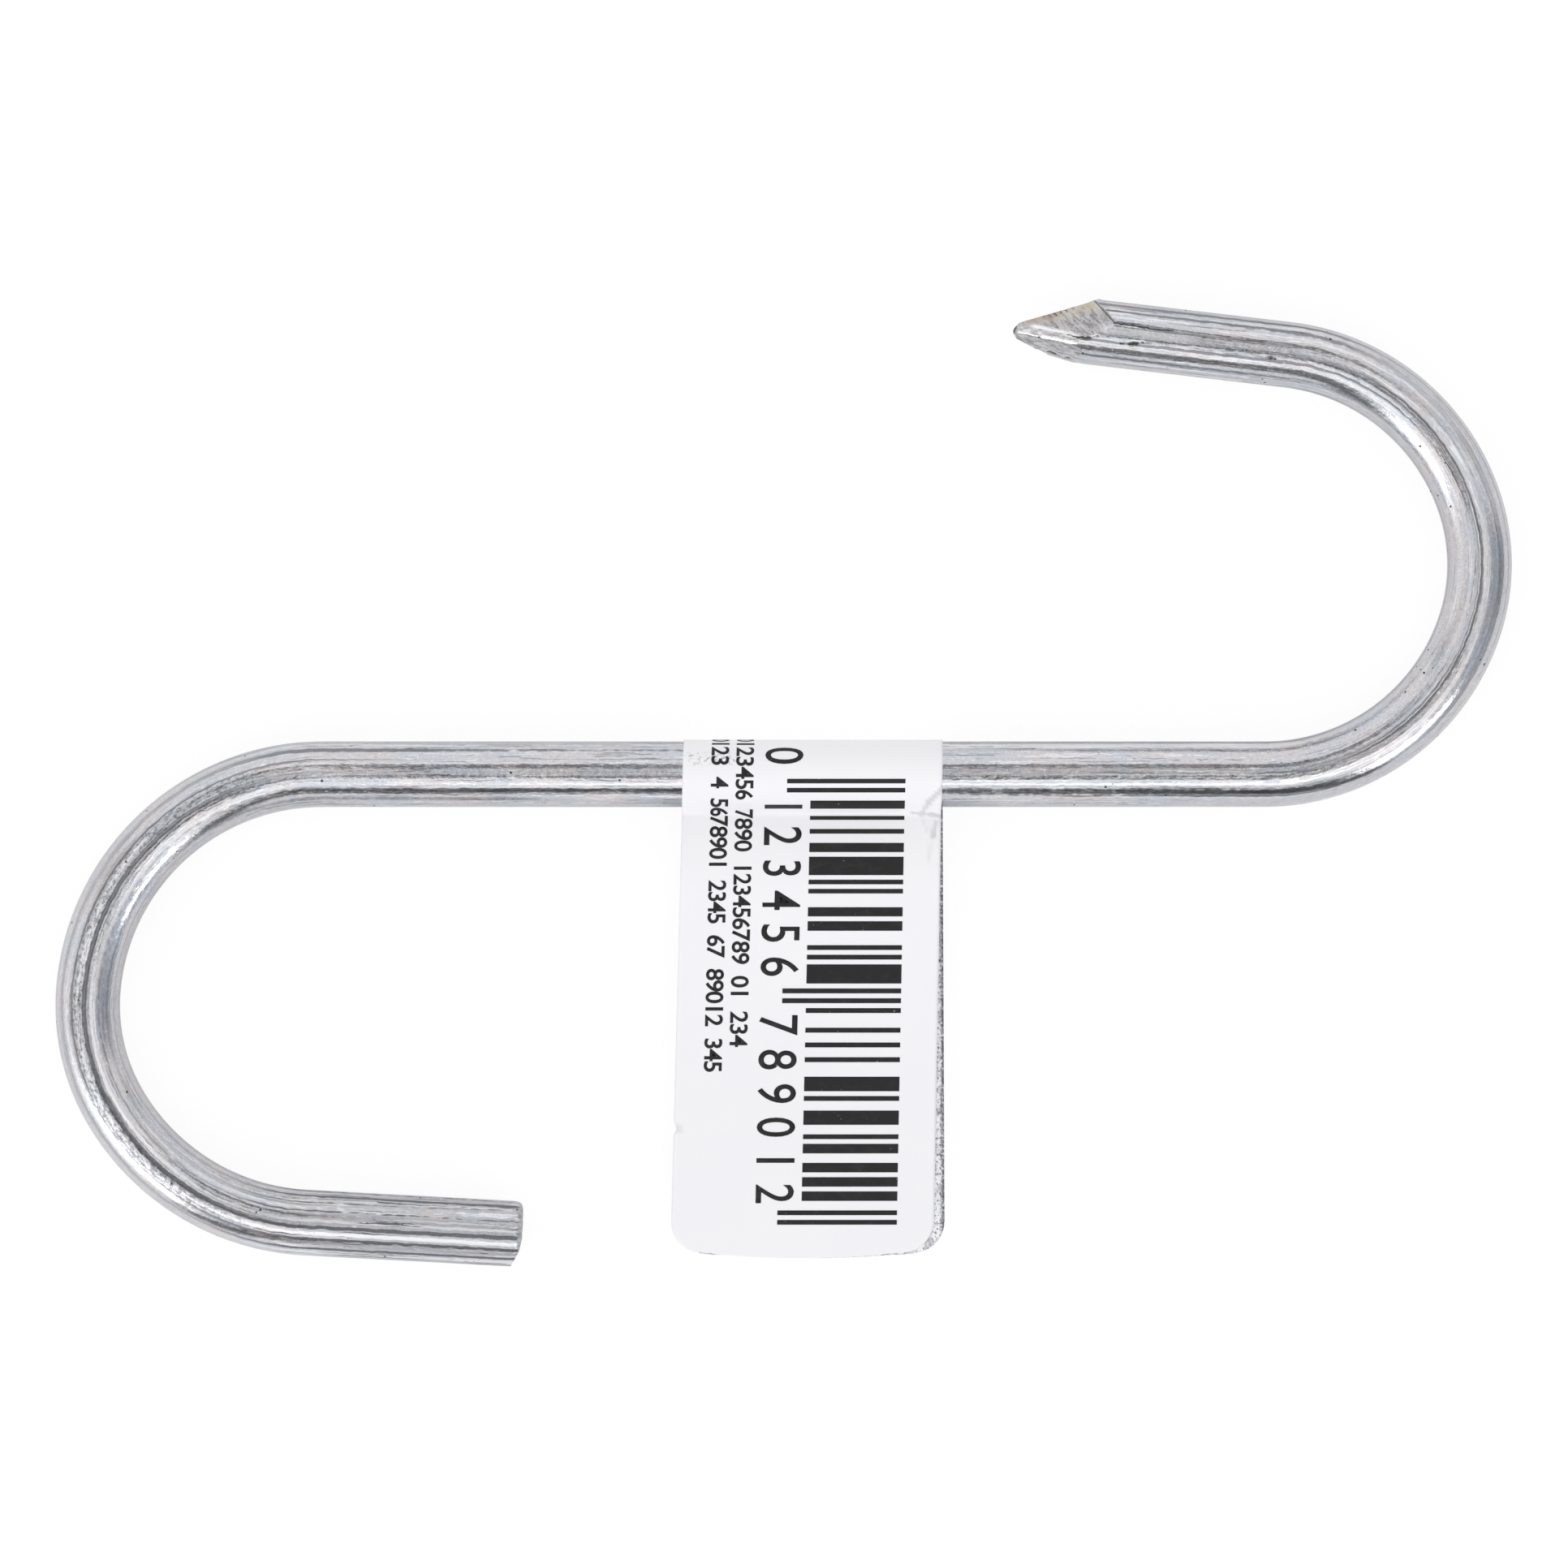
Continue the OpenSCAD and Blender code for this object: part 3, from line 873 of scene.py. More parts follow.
    # The pinched facets are torn steel with slanting marks, stained near the crest
    worn = graph.attribute("worn")
    slant = graph.add("ShaderNodeMapping", {}, {"Vector": rod, "Rotation": (0, 0, math.radians(38))})
    scratches = graph.noise(slant, (1.1, 5.0, 0.5), 3, 0.62)
    stain = graph.noise(rod, (0.9, 1.1, 1.1), 2, 0.6).ease(0.30, 0.48) * graph.attribute("stain")
    torn = graph.mix(scratches.ease(0.38, 0.62), (0.17, 0.17, 0.185), colours.cut_steel)
    torn = graph.mix(grit.ease(0.45, 0.65) * 0.35, torn, (0.90, 0.90, 0.92))
    cloud = graph.noise(rod, (0.7, 1.3, 1.3), 2, 0.5)
    torn = graph.mix(cloud.ease(0.35, 0.6) * 0.35, torn, (0.42, 0.37, 0.37))
    tarnish = graph.mix(graph.attribute("rust"), colours.straw, colours.rust)
    torn = graph.mix(stain * 0.6, torn, tarnish)
    skin = graph.mix(cut, drawn, torn)
    # Painted highlight on the polished ridge and on the burr, and the paler rubbed patch, all mixed towards near
    # white
    skin = graph.mix(worn, skin, (0.90, 0.90, 0.91))
    # Grime in the pits and gouges, and painted shade in the notch under the upper facets, round the nose's edge
    # and along the step where they end, darken the skin
    dirt = (grime + pits * 0.8).ease(0.15, 0.8)
    skin = graph.mix(dirt, skin, colours.grime)

    # Relief of the lines, the lumps, the spangle and the torn faces
    line_height = long_lines * 0.9 + short_lines * 0.22 + ripples * 0.08 + grit * 0.10
    line_height = line_height + (lumps * 0.9 + spangle * 0.3) * (0.3 + plain * 0.7)
    cut_height = scratches * 0.5 + grit * 0.15
    height = (line_height * (1 - cut) + cut_height * cut) * (1 - worn * 0.8) - pits * 0.5
    bump = graph.add(
        "ShaderNodeBump", {}, {"Strength": 1.0, "Distance": 0.022 * MM, "Height": height})
    surface(graph, {
        "Base Color": skin,
        "Metallic": 1 - dirt * 0.7,
        "Roughness": 0.13 + 0.10 * spangle + 0.14 * cut + 0.20 * dull + dirt * 0.4,
        "Normal": bump,
    })
    return made


class HOOK_OT_wire(bpy.types.Operator):
    """Draws the wire, pinches and shears its ends, and bends it into the hook"""

    bl_idname = "s_hook.bend_wire"
    bl_label = "Bend the wire"

    def execute(self, context):
        sizes = context.scene.hook_wire
        route = wire_route(sizes)
        bm = bmesh.new()
        mark = bm.faces.layers.int.new("facet")
        turn_rod(bm, sizes, rings(sizes, route))
        pinch_point(bm, sizes, route, mark)
        shear_corner(bm, sizes, mark)
        soften_cuts(bm, mark)
        score_facet_end(bm, route, mark)
        slice_cuts(bm, mark, True)
        slice_cuts(bm, mark, False)
        bmesh.ops.dissolve_degenerate(bm, edges=bm.edges, dist=CUT_GRIP * 2)
        bmesh.ops.triangulate(bm, faces=[face for face in bm.faces if len(face.verts) > 4])
        end_facets(bm, sizes, route, mark)
        smooth_forged(bm, route, mark)
        press_marks(bm, sizes, route, mark)
        bend_wire(bm, sizes, route)
        seat_wire(bm)
        bmesh.ops.recalc_face_normals(bm, faces=bm.faces)
        for face in bm.faces:
            face.smooth = True
        piece = show(bm, "bent_wire", [zinc_material(context.scene.hook_finish)])
        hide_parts("wire_hook")
        return {"FINISHED"}


# The label

ROW = 0.3 * MM
BACK_ROW = 0.5 * MM
FINE_ROW = 0.09 * MM
FINE_REACH = 9.2 * MM
COLUMN = 0.2 * MM
CORNER_ROWS = 12
LEAF_GAP = 0.003 * MM

# Creases in the front leaf, in millimetres from the label's middle and above the shank's axis:
# the two ends of each, its width and how far it stands up
CREASES = [
    (8.95, -0.9, 7.95, -1.9, 0.26, 0.12),
    (7.95, -1.9, 7.5, -2.75, 0.24, 0.10),
    (9.0, -3.0, 8.2, -2.75, 0.22, 0.13),
    (8.2, -2.75, 6.9, -2.6, 0.20, 0.07),
    (6.9, -2.6, 4.3, -2.95, 0.22, 0.03),
    (8.6, -3.1, 8.3, -4.2, 0.30, -0.08),
    (8.3, -4.2, 8.05, -5.9, 0.34, -0.05),
    (7.6, -3.1, 8.2, -4.6, 0.24, 0.05),
    (-9.0, -3.0, -6.2, -2.8, 0.34, 0.03),
]

# The nick in the left edge of the front leaf: its place above the shank's axis, its length and its depth
NICK_AT = -24.3 * MM
NICK_LENGTH = 0.32 * MM
NICK_DEPTH = 0.26 * MM


class Sheet:
    """The label's sheet: how its flat points lie once it is folded round the wire."""

    def __init__(self, sizes):
        self.sizes = sizes
        bore = sizes.glue + (WIRE_BOX[1].z - WIRE_BOX[0].z) / 2
        self.middle_radius = bore + sizes.paper / 2
        self.axis_z = (WIRE_BOX[0].z + WIRE_BOX[1].z) / 2
        self.axis_y = LABEL_BOX[0].y + sizes.flag
        self.middle_x = self.find_middle()
        reach = math.pi / 2 + (math.pi / 2 - sizes.pinch / 2) - (math.pi / 2 - sizes.pinch) / 2
        reach = math.pi / 2 + sizes.pinch
        seam = sizes.paper / 2 + LEAF_GAP
        drop = self.middle_radius * math.sin(reach) - seam - sizes.crease * (1 - math.cos(sizes.pinch))
        slope = drop / math.sin(sizes.pinch)
        wrap = [arc(self.middle_radius, reach), (slope, 0), arc(sizes.crease, -sizes.pinch)]
        start = Route((self.middle_radius, 0), math.pi / 2, [*wrap, (sizes.flag, 0)])
        leaf = start.starts[3][1].x + sizes.flag - sizes.bow
        self.section = Route((self.middle_radius, 0), math.pi / 2, [*wrap, (leaf, 0)])
        self.half = self.section.length

    def find_middle(self):
        """The middle of the label along the shank, from where the shank lies."""
        wire = bpy.context.scene.hook_wire
        route = wire_route(wire)
        bend = route.starts[4][1]
        far = min(route.place(route.starts[1][0] + step * 0.1 * MM, 0).x for step in range(900))
        edge = far - wire.diameter / 2 + wire.thinning
        return WIRE_BOX[0].x - edge + bend.x + wire.shank / 2 + self.sizes.middle

    def half_width(self, distance):
        """Half the sheet's width at a distance from the fold, which the round corners narrow."""
        width = self.sizes.width / 2
        past = abs(distance) - (self.half - self.sizes.corner)
        if past <= 0:
            return width
        radius = self.sizes.corner
        return width - radius + math.sqrt(max(radius * radius - past * past, 0))

    def fold(self, across, distance, rise):
        """Where a point of the flat sheet lies: across it, along it from the fold, and above its middle."""
        front = distance >= 0
        point, heading = self.section.at(abs(distance))
        normal = Vector((math.sin(heading), -math.cos(heading)))
        spot = point + rise * normal
        y, z = spot
        below = max(0.0, self.middle_radius - y)
        sizes = self.sizes
        if front:
            lean = sizes.front_lean
            across *= 1 + sizes.front_flare / sizes.width * below / sizes.flag
        else:
            lean = sizes.back_lean
        x = across + below * math.tan(lean)
        leaf = smooth(-y, 2.2 * MM, 3.4 * MM)
        if not front:
            z = -z
        z += leaf * self.wave(x, y)
        if front:
            z += self.crumple(x, y)
        return Vector((self.middle_x + x, self.axis_y + y, self.axis_z + z))

    def wave(self, x, y):
        """The slow waves that both leaves share."""
        slow = noise.noise(Vector((x / MM * 0.11, y / MM * 0.09, 3.0)))
        return (0.10 * slow + 0.05 * math.sin(y / MM * 0.23 + 0.8)) * MM

    def crumple(self, x, y):
        """The creases of the front leaf."""
        total = 0.0
        for x_0, y_0, x_1, y_1, width, height in CREASES:
            away, _ = segment_distance(x / MM, y / MM, (x_0, y_0), (x_1, y_1))
            if away < 2.5 * width:
                total += height * MM * bell(away, width)
        return total

    def seen_at(self, y):
        """The distance along the sheet at which its front is a height y above the shank's axis."""
        if y > 0:
            return self.middle_radius * math.pi / 2 - y
        low, high = 0.0, self.half + self.sizes.corner
        for _ in range(32):
            middle = (low + high) / 2
            if self.section.at(middle)[0].x > y:
                low = middle
            else:
                high = middle
        return low


def spread(start, end, step):
    """Even places from a start up to an end, the end left out."""
    number = max(math.ceil((end - start) / step), 1)
    return [start + (end - start) * place / number for place in range(number)]


def sheet_rows(sheet):
    """Where the rows of the flat sheet lie, closer together at its creases and its round corners."""
    plain = sheet.half - sheet.sizes.corner
    corner = [plain + sheet.sizes.corner * math.sin(math.pi / 2 * step / CORNER_ROWS) for step in range(CORNER_ROWS + 1)]
    wrap = sheet.section.starts[3][0]
    back = spread(0, wrap, FINE_ROW * 2) + spread(wrap, plain, BACK_ROW) + corner
    front = spread(0, FINE_REACH, FINE_ROW) + spread(FINE_REACH, plain, ROW) + corner
    return [-row for row in reversed(back[1:])] + front


def fold_sheet(bm, sheet):
    """Folds a flat grid into the label, and keeps where each point was on the flat sheet."""
    rows = sheet_rows(sheet)
    columns = math.ceil(sheet.sizes.width / COLUMN)
    bmesh.ops.create_grid(bm, x_segments=columns, y_segments=len(rows) - 1, size=1)
    flat = bm.verts.layers.float_vector.new("flat")
    crease = bm.verts.layers.float.new("crease")
    for vert in bm.verts:
        number = round((vert.co.y + 1) / 2 * (len(rows) - 1))
        distance = rows[number]
        across = vert.co.x * sheet.half_width(distance)
        nick = 0.0
        bowed = sheet.sizes.bow * (1 - vert.co.x ** 2) * smooth(abs(distance), sheet.half - 6 * MM, sheet.half)
        far = distance + math.copysign(bowed, distance)
        if distance > 0 and vert.co.x < -0.9:
            y = sheet.section.at(distance)[0].x
            nick = bell(y - NICK_AT, NICK_LENGTH) * smooth(-vert.co.x, 0.9, 1)
            across += NICK_DEPTH * nick
        vert[flat] = Vector((across, far, 0)) / MM
        # How grey each point of the front leaf is painted: painted shade in its creases, and a grey mark at the
        # nick
        if distance > 0:
            folded = abs(sheet.crumple(across, sheet.section.at(far)[0].x)) / MM
            vert[crease] = max(smooth(folded, 0.02, 0.09), nick)
        vert.co = sheet.fold(across, far, 0)


def paper_material(colours):
    """Coated white label paper, with faint specks, a scuff and greyer creases."""
    made, graph = material("label_paper")
    flat = graph.attribute("flat", "Vector")
    across = graph.axis(flat, 0)
    along = graph.axis(flat, 1)
    cloud = graph.noise(flat, (0.16, 0.16, 1), 3, 0.55)
    tooth = graph.noise(flat, (9, 9, 1), 3, 0.6)
    fleck = graph.noise(flat, (4.2, 4.2, 1), 2, 0.5).ease(0.755, 0.79)
    paper = graph.mix(cloud.ease(0.3, 0.7) * 0.5, colours.paper, (0.87, 0.872, 0.905))
    paper = graph.mix(fleck * 0.5, paper, colours.adhesive)

    # Painted shade: the flag is darkened a little where it leaves the fold and again towards its end
    shade = along.ease(7.2, 7.8) * (1 - along.ease(7.8, 13.0)) * 0.04 + along.ease(15.0, 28.0) * 0.035
    paper = graph.mix(shade, paper, colours.ink)

    # The scuff near the fold, left of the print, is a ragged run of small grey marks
    run = along.band(2.55, 0.2, 0.45) * across.band(-6.9, 1.3, 0.8)
    rag = graph.noise(flat, (3.4, 4.6, 1), 3, 0.65).ease(0.54, 0.6)
    scuff = run * rag
    paper = graph.mix(scuff * 0.48, paper, colours.speck)
    # Painted shade: the creases are greyed, and the nick in the left edge gets a grey mark
    paper = graph.mix(graph.attribute("crease") * 0.6, paper, colours.adhesive)
    bump = graph.add(
        "ShaderNodeBump", {}, {"Strength": 0.5, "Distance": 0.006 * MM, "Height": tooth + scuff * 2})
    surface(graph, {
        "Base Color": paper,
        "Roughness": 0.46 + 0.2 * scuff,
        "Specular IOR Level": 0.35,
        "Normal": bump,
    })
    return made


def adhesive_material(colours):
    """The sticky side of the label, grey with dirt where it shows past the front leaf."""
    made, graph = material("label_adhesive")
    flat = graph.attribute("flat", "Vector")
    cloud = graph.noise(flat, (2.0, 1.1, 1), 3, 0.6)
    dirt = graph.noise(flat, (5.5, 4.5, 1), 3, 0.7)
    sticky = graph.mix(cloud.ease(0.33, 0.58), colours.adhesive, (0.87, 0.87, 0.89))
    sticky = graph.mix(dirt.ease(0.54, 0.62) * 0.9, sticky, colours.speck)
    rim = abs(graph.axis(flat, 0)).ease(8.5, 8.8) * dirt.ease(0.36, 0.50)
    sticky = graph.mix(rim * 0.85, sticky, colours.speck)
    bump = graph.add(
        "ShaderNodeBump", {}, {"Strength": 0.8, "Distance": 0.02 * MM, "Height": dirt})
    surface(graph, {
        "Base Color": sticky,
        "Roughness": 0.35 + 0.3 * cloud,
        "Normal": bump,
    })
    return made


class HOOK_OT_label(bpy.types.Operator):
    """Folds the label round the shank and sticks its two leaves together"""

    bl_idname = "s_hook.fold_label"
    bl_label = "Fold the label"

    def execute(self, context):
        sheet = Sheet(context.scene.hook_label)
        colours = context.scene.hook_finish
        bm = bmesh.new()
        fold_sheet(bm, sheet)
        bm.normal_update()
        top = max(bm.faces, key=lambda face: face.calc_center_bounds().z)
        if top.normal.z < 0:
            bmesh.ops.reverse_faces(bm, faces=bm.faces)
        for face in bm.faces:
            face.smooth = True
        piece = show(bm, "label_sheet", [paper_material(colours), adhesive_material(colours)])
        wall = piece.modifiers.new("wall", "SOLIDIFY")
        wall.thickness = sheet.sizes.paper
        wall.offset = 0
        wall.material_offset = 1
        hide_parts("label")
        return {"FINISHED"}


# The print

# The seven modules of each number in the left half of a bar code, from 0 to 9: 1 is a bar and 0 a gap.
# The right half has bars and gaps the other way round.
BAR_SHAPES = "0001101 0011001 0010011 0111101 0100011 0110001 0101111 0111011 0110111 0001011".split()
LEFT_NUMBERS = "123456"
RIGHT_NUMBERS = "789012"
FIRST_NUMBER = "0"
SIDE_GUARD = "101"
MIDDLE_GUARD = "01010"
NOTES = [
    # Left end of the small numbers, the height where they end above the shank's axis, and what they count
    (-6.9, -20.9, "0123 4 5678901 2345 67 89012 345"),
    (-5.2, -19.2, "0123456 7890 123456789 01 234"),
]

# The print looks shorter than it lies, because the sheet slopes: millimetres down the print from its first bar,
# and how far up the print has moved there
SHORTENING = (
    (0, 0), (1.0, 0.07), (3.3, 0.446), (6.5, 0.54), (10.1, 0.67), (14.7, 0.635), (20.2, 0.457), (23.2, 0.407),
    (31.0, 0.41),
)
BAR_STEPS = 26
NUMBER_SQUEEZE = 0.8
NUMBER_WEIGHT = 0.004
NOTE_WEIGHT = 0.016
INK_STEP = 0.14 * MM
INK_LONG_STEP = 1.0 * MM


def bar_pattern():
    """The modules of the whole bar code, each as its bar or gap and whether it belongs to a guard."""
    swap = str.maketrans("01", "10")
    parts = [(SIDE_GUARD, True)]
    parts += [(BAR_SHAPES[int(number)], False) for number in LEFT_NUMBERS]
    parts += [(MIDDLE_GUARD, True)]
    parts += [(BAR_SHAPES[int(number)].translate(swap), False) for number in RIGHT_NUMBERS]
    parts += [(SIDE_GUARD, True)]
    return [(module, guard) for pattern, guard in parts for module in pattern]


def bar_runs():
    """Each bar as its first module, the module after its last, and whether it is a guard bar."""
    runs = []
    for number, (module, guard) in enumerate(bar_pattern()):
        if module == "0":
            continue
        if runs and runs[-1][1] == number and runs[-1][2] == guard:
            runs[-1] = (runs[-1][0], number + 1, guard)
        else:
            runs.append((number, number + 1, guard))
    return runs


def shorten(y, sizes):
    """The height at which the print of a flat height shows, above the shank's axis."""
    down = (sizes.first_bar - y) / MM
    for (start, start_rise), (end, end_rise) in zip(SHORTENING, SHORTENING[1:]):
        if start <= down < end:
            return y + MM * (start_rise + (end_rise - start_rise) * (down - start) / (end - start))
    return y + (SHORTENING[-1][1] * MM if down > 0 else 0)


def lay_ink(bm, sheet, sizes):
    """Lays flat print, with its height as Y, on the folded sheet."""
    rise = sheet.sizes.paper / 2 + 0.002 * MM
    for vert in bm.verts:
        vert.co = sheet.fold(vert.co.x, sheet.seen_at(shorten(vert.co.y, sizes)), rise)
    bm.normal_update()
    if sum(face.normal.z for face in bm.faces) < 0:
        bmesh.ops.reverse_faces(bm, faces=bm.faces)


def print_bars(sheet, sizes, ink):
    """Prints the bars of the code."""
    bm = bmesh.new()
    for first, last, guard in bar_runs():
        left = sizes.guard_left if guard else sizes.bar_left
        right = sizes.bar_right
        high = sizes.first_bar - first * sizes.module
        low = sizes.first_bar - last * sizes.module
        place = Matrix.Translation(((left + right) / 2, (high + low) / 2, 0))
        size = Matrix.Diagonal(((right - left) / 2, (high - low) / 2, 1, 1))
        bmesh.ops.create_grid(
            bm, x_segments=BAR_STEPS, y_segments=2 * (last - first), size=1, matrix=place @ size)
    lay_ink(bm, sheet, sizes)
    return show(bm, "label_bars", [ink])


def set_numbers(bm, text, height, squeeze, left, start, pitch, weight):
    """Sets numbers that read down the label, with their feet at the left, and returns where they end."""
    for place, letter in enumerate(text):
        if letter == " ":
            continue
        curve = bpy.data.curves.new("number", "FONT")
        curve.body = letter
        curve.resolution_u = 5
        curve.offset = weight
        holder = bpy.data.objects.new("number", curve)
        mesh = bpy.data.meshes.new_from_object(holder)
        bpy.data.objects.remove(holder)
        bpy.data.curves.remove(curve)
        x_low = min(vert.co.x for vert in mesh.vertices)
        x_high = max(vert.co.x for vert in mesh.vertices)
        y_high = max(vert.co.y for vert in mesh.vertices)
        scale = height / y_high
        turn = Matrix.Rotation(-math.pi / 2, 4, "Z")
        centre = Matrix.Translation((-(x_low + x_high) / 2, 0, 0))
        size = Matrix.Diagonal((scale * squeeze, scale, 1, 1))
        spot = Matrix.Translation((left, start - pitch * (place + 0.5), 0))
        mesh.transform(spot @ turn @ size @ centre)
        bm.from_mesh(mesh)
        bpy.data.meshes.remove(mesh)


def slice_ink(bm):
    """Slices flat print across, closely where the sheet is folded, so that it follows the sheet."""
    high = max(vert.co.y for vert in bm.verts)
    low = min(vert.co.y for vert in bm.verts)
    folded = spread(-4 * MM, high, INK_STEP)
    for place in spread(low, -4 * MM, INK_LONG_STEP) + folded:
        bmesh.ops.bisect_plane(
            bm, geom=around(bm.faces), dist=CUT_GRIP, plane_co=(0, place, 0), plane_no=(0, 1, 0))


def print_numbers(sheet, sizes, ink):
    """Prints the large numbers beside the bars, and the small ones beside them."""
    bm = bmesh.new()
    group = 7 * sizes.module
    start = sizes.first_bar - 3 * sizes.module
    height = sizes.number_height
    for numbers, top in (
        (FIRST_NUMBER, sizes.first_bar + 8.6 * sizes.module),
        (LEFT_NUMBERS, start),
        (RIGHT_NUMBERS, start - 47 * sizes.module),
    ):
        set_numbers(bm, numbers, height, NUMBER_SQUEEZE, sizes.number_base, top, group, NUMBER_WEIGHT)
    for left, end, text in NOTES:
        top = sheet.middle_radius * math.pi / 2
        pitch = (top - end * MM) / len(text)
        set_numbers(bm, text, sizes.note_height, 1.0, left * MM, top, pitch, NOTE_WEIGHT)
    slice_ink(bm)
    bmesh.ops.triangulate(bm, faces=bm.faces)
    lay_ink(bm, sheet, sizes)
    return show(bm, "label_numbers", [ink])


def ink_material(colours):
    """Black print with a slight sheen and small white voids."""
    made, graph = material("label_ink")
    where = graph.add("ShaderNodeTexCoord", {}, output="Object")
    void = graph.noise(where, (5200, 5200, 10), 2, 0.5).ease(0.74, 0.77)
    cloud = graph.noise(where, (900, 1500, 10), 2, 0.6)
    black = graph.mix(cloud.ease(0.45, 0.75) * 0.35, colours.ink, (0.035, 0.034, 0.034))
    black = graph.mix(void * 0.6, black, colours.paper)
    surface(graph, {"Base Color": black, "Roughness": 0.36 + 0.2 * cloud, "Specular IOR Level": 0.3})
    return made


class HOOK_OT_print(bpy.types.Operator):
    """Prints a plain counting bar code and its numbers on the label"""

    bl_idname = "s_hook.print_label"
    bl_label = "Print the label"

    def execute(self, context):
        sheet = Sheet(context.scene.hook_label)
        sizes = context.scene.hook_print
        ink = ink_material(context.scene.hook_finish)
        for piece in (print_bars(sheet, sizes, ink), print_numbers(sheet, sizes, ink)):
            layer = piece.modifiers.new("layer", "SOLIDIFY")
            layer.thickness = sizes.ink
            layer.offset = 1
        return {"FINISHED"}


# The stage

FLOOR_SIZE = 4.0
LAMP_DISTANCE = 0.6
LAMP_RISE = 24
LAMP_WIDTH = 0.26
LAMP_HEIGHT = 0.13
LAMP_HEADINGS = (-44, -141)


def tent_light(settings):
    """A pale tent with gaps between its panels, which the wire mirrors as dark lines."""
    world = bpy.data.worlds.new("tent")
    bpy.context.scene.world = world
    world.use_nodes = True
    graph = Graph(world.node_tree)
    direction = graph.add("ShaderNodeTexCoord", {}, output="Generated")
    east = graph.axis(direction, 0)
    north = graph.axis(direction, 1)
    near_south = 1 - abs(north).ease(0.25, 0.45)
    near_east = 1 - abs(east).ease(0.25, 0.45)
    near_middle = 1 - abs(east).ease(0.22, 0.5) * 0.75
    north_gap = north.band(0.48, 0.055, 0.04) * near_middle
    south_gap = north.band(-0.88, 0.04, 0.05)
    roof_seam = north.band(-0.17, 0.035, 0.05) * near_east
    ridge = east.band(0.02, 0.025, 0.04) * near_south
    west_seam = east.band(-0.27, 0.04, 0.06) * near_south
    west_gap = east.band(-0.74, 0.05, 0.08) * (1 - abs(north).ease(0.4, 0.6))
    east_card = east.ease(0.45, 0.70) * (1 - north.ease(0.05, 0.40)) * (1 - north.ease(-0.60, -0.80))
    south_panel = north.band(-0.45, 0.18, 0.10)
    dark = north_gap * 0.93 + south_gap * 0.85 + roof_seam * 0.7 + ridge * 0.7 + west_seam * 0.35 + west_gap * 0.25
    light = (1 + south_panel * 0.3) * (1 - dark)
    tint = graph.mix(east_card, (1, 1, 1), (0.44, 0.46, 0.49))
    grey = graph.add("ShaderNodeCombineColor", {}, {0: light, 1: light, 2: light})
    lit = graph.add("ShaderNodeMix", {"data_type": "RGBA", "blend_type": "MULTIPLY"}, {0: 1.0, 6: grey, 7: tint}, output=2)
    inside = graph.add("ShaderNodeBackground", {}, {"Color": lit, "Strength": settings.sky})
    outside = graph.add("ShaderNodeBackground", {}, {"Color": (1, 1, 1, 1), "Strength": 1.0})
    seen = graph.add("ShaderNodeLightPath", {}, output="Is Camera Ray")
    both = graph.add("ShaderNodeMixShader", {}, {0: seen, 1: inside, 2: outside})
    graph.add("ShaderNodeOutputWorld", {}, {"Surface": both})


def floor_material(settings):
    """White paper that clears to pure white for the camera and keeps a soft shadow."""
    made, graph = material("floor_paper")
    diffuse = graph.add("ShaderNodeBsdfDiffuse", {}, {"Color": (*settings.floor, 1)})
    glow = graph.add("ShaderNodeEmission", {}, {"Color": (1, 1, 1, 1), "Strength": 1.03})
    seen = graph.add("ShaderNodeLightPath", {}, output="Is Camera Ray")
    share = graph.add("ShaderNodeMixShader", {}, {0: seen * 0.88, 1: diffuse, 2: glow})
    graph.add("ShaderNodeOutputMaterial", {}, {"Surface": share})
    return made


def lay_floor(settings):
    """Lays the floor that the hook lies on."""
    bm = bmesh.new()
    bmesh.ops.create_grid(bm, x_segments=1, y_segments=1, size=FLOOR_SIZE / 2)
    mesh = bpy.data.meshes.new("floor")
    bm.to_mesh(mesh)
    bm.free()
    mesh.materials.append(floor_material(settings))
    floor = bpy.data.objects.new("floor", mesh)
    bpy.context.scene.collection.objects.link(floor)


def hang_lamps(settings):
    """Stands two low lamps in front of the hook, left and right."""
    for number, heading in enumerate(LAMP_HEADINGS):
        lamp = bpy.data.lights.new(f"low_lamp_{number}", "AREA")
        lamp.shape = "RECTANGLE"
        lamp.size = LAMP_WIDTH
        lamp.size_y = LAMP_HEIGHT
        lamp.energy = settings.lamp
        holder = bpy.data.objects.new(lamp.name, lamp)
        turn = math.radians(heading)
        rise = math.radians(LAMP_RISE)
        way = Vector((math.cos(turn) * math.cos(rise), math.sin(turn) * math.cos(rise), math.sin(rise)))
        holder.location = way * LAMP_DISTANCE
        holder.rotation_euler = way.to_track_quat("Z", "Y").to_euler()
        bpy.context.scene.collection.objects.link(holder)


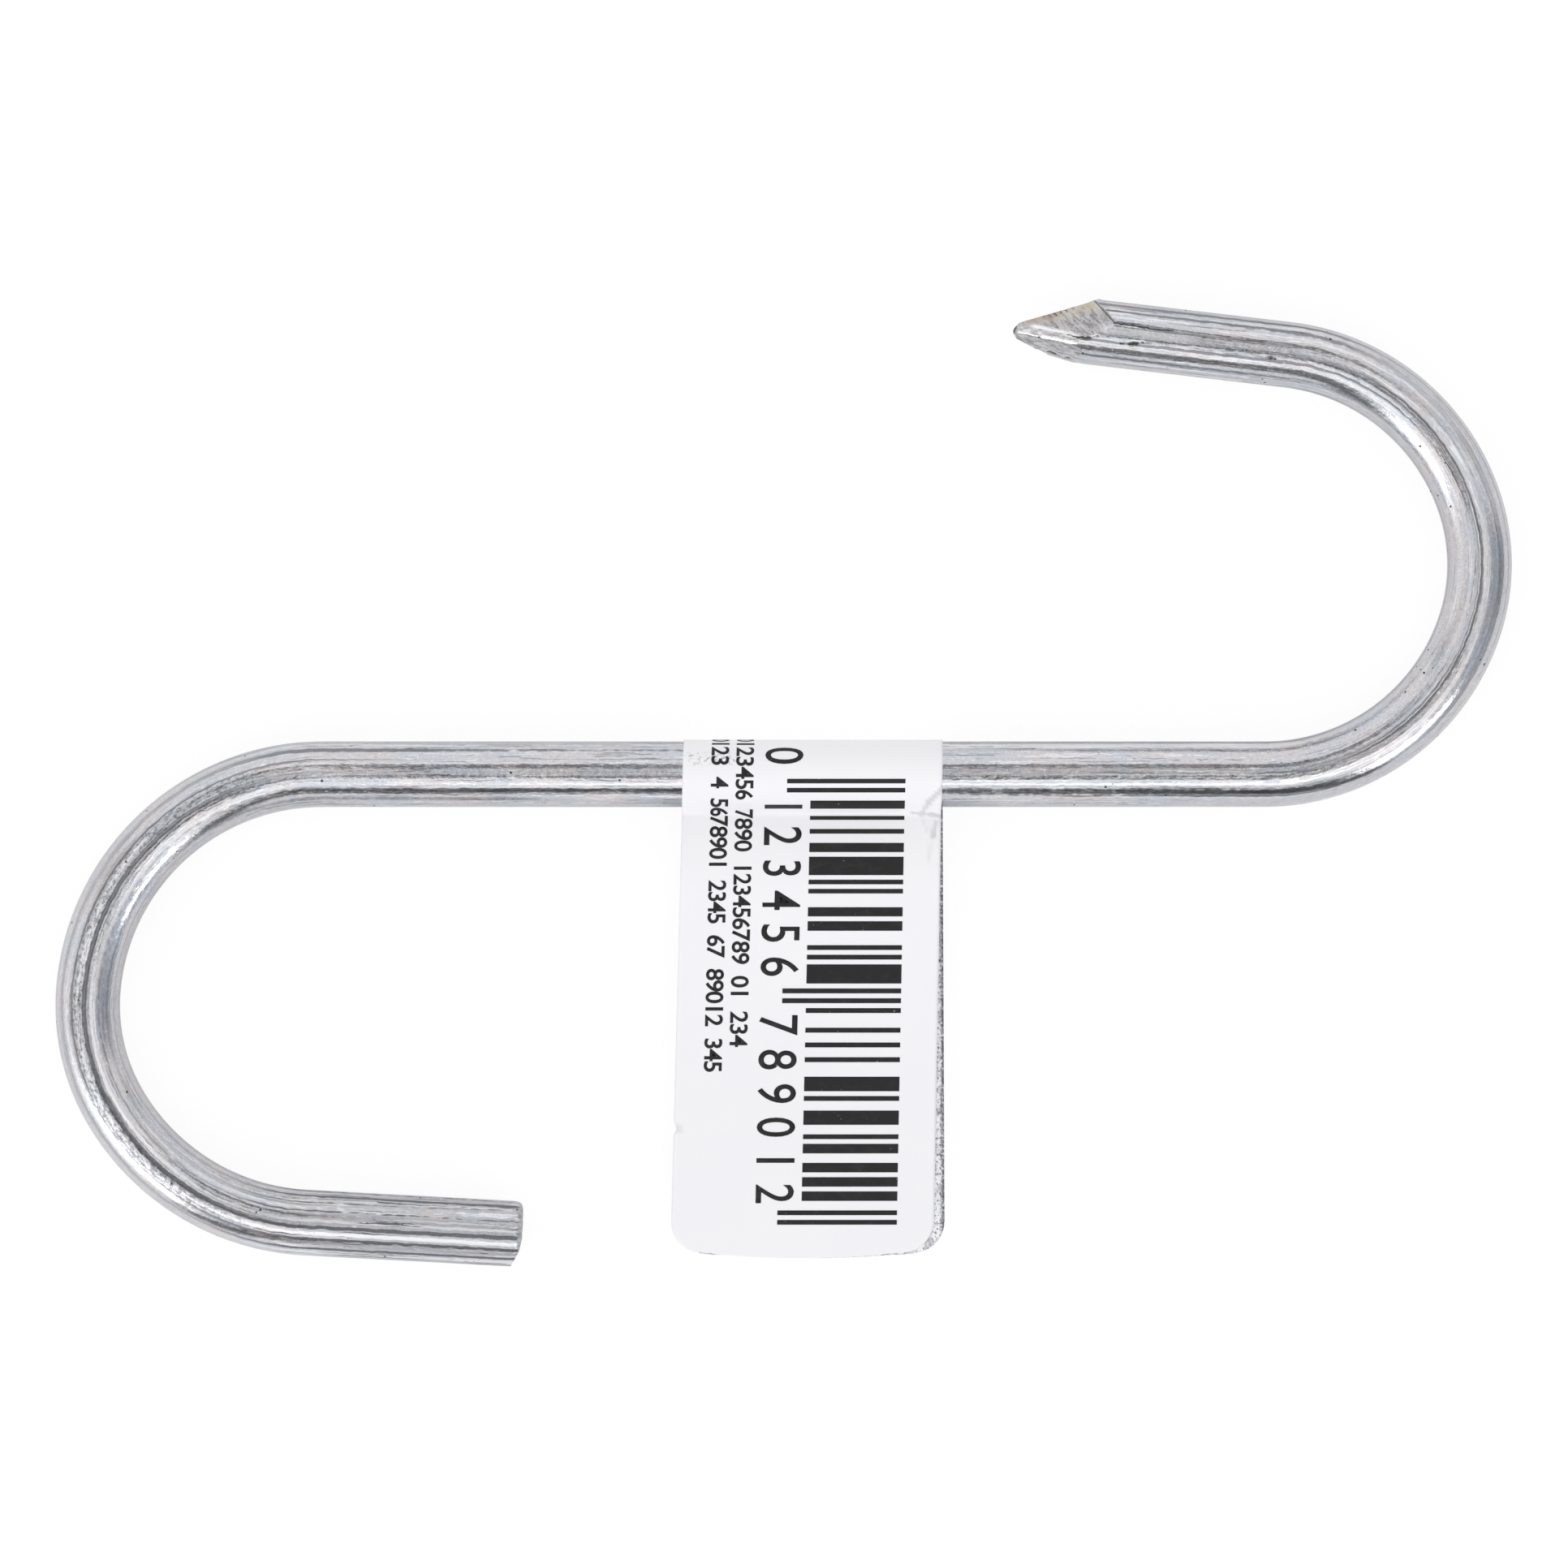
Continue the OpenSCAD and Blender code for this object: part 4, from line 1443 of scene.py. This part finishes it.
def set_camera(settings):
    """Looks straight down on the hook, through a long lens, with the photograph's framing."""
    camera = bpy.data.cameras.new("camera")
    camera.lens = settings.lens
    holder = bpy.data.objects.new("camera", camera)
    bpy.context.scene.collection.objects.link(holder)
    bpy.context.scene.camera = holder
    scale = settings.pixels_per_mm
    width = settings.frame_pixels / scale * MM
    middle = (CAD_BOX[0] + CAD_BOX[1]) / 2
    centre = settings.frame_pixels / 2
    height = width * camera.lens / camera.sensor_width
    holder.location = (
        middle.x + (centre - settings.middle_x) / scale * MM,
        middle.y - (centre - settings.middle_y) / scale * MM,
        middle.z + height,
    )
    camera.clip_start = 0.01
    camera.clip_end = 10


class HOOK_OT_stage(bpy.types.Operator):
    """Lays the floor, hangs the lamps and sets the camera"""

    bl_idname = "s_hook.set_stage"
    bl_label = "Set the stage"

    def execute(self, context):
        settings = context.scene.hook_studio
        lay_floor(settings)
        hang_lamps(settings)
        tent_light(settings)
        set_camera(settings)
        context.scene.view_settings.view_transform = "Standard"
        return {"FINISHED"}


class HOOK_PT_panel(bpy.types.Panel):
    """Lists the steps that make the hook"""

    bl_label = "S Hook"
    bl_idname = "HOOK_PT_panel"
    bl_space_type = "VIEW_3D"
    bl_region_type = "UI"
    bl_category = "S Hook"

    def draw(self, context):
        for operator in OPERATORS:
            self.layout.operator(operator.bl_idname)
        for name, group in GROUPS.items():
            column = self.layout.column(heading=group.__doc__)
            for field in group.__annotations__:
                column.prop(getattr(context.scene, name), field)


OPERATORS = (HOOK_OT_wire, HOOK_OT_label, HOOK_OT_print, HOOK_OT_stage)
CLASSES = (*GROUPS.values(), *OPERATORS, HOOK_PT_panel)


def register():
    for made in CLASSES:
        bpy.utils.register_class(made)
    for name, group in GROUPS.items():
        setattr(bpy.types.Scene, name, bpy.props.PointerProperty(type=group))


def unregister():
    for name in GROUPS:
        delattr(bpy.types.Scene, name)
    for made in reversed(CLASSES):
        bpy.utils.unregister_class(made)


def main():
    register()
    bpy.ops.s_hook.bend_wire()
    bpy.ops.s_hook.fold_label()
    bpy.ops.s_hook.print_label()
    bpy.ops.s_hook.set_stage()


if __name__ == "__main__":
    main()
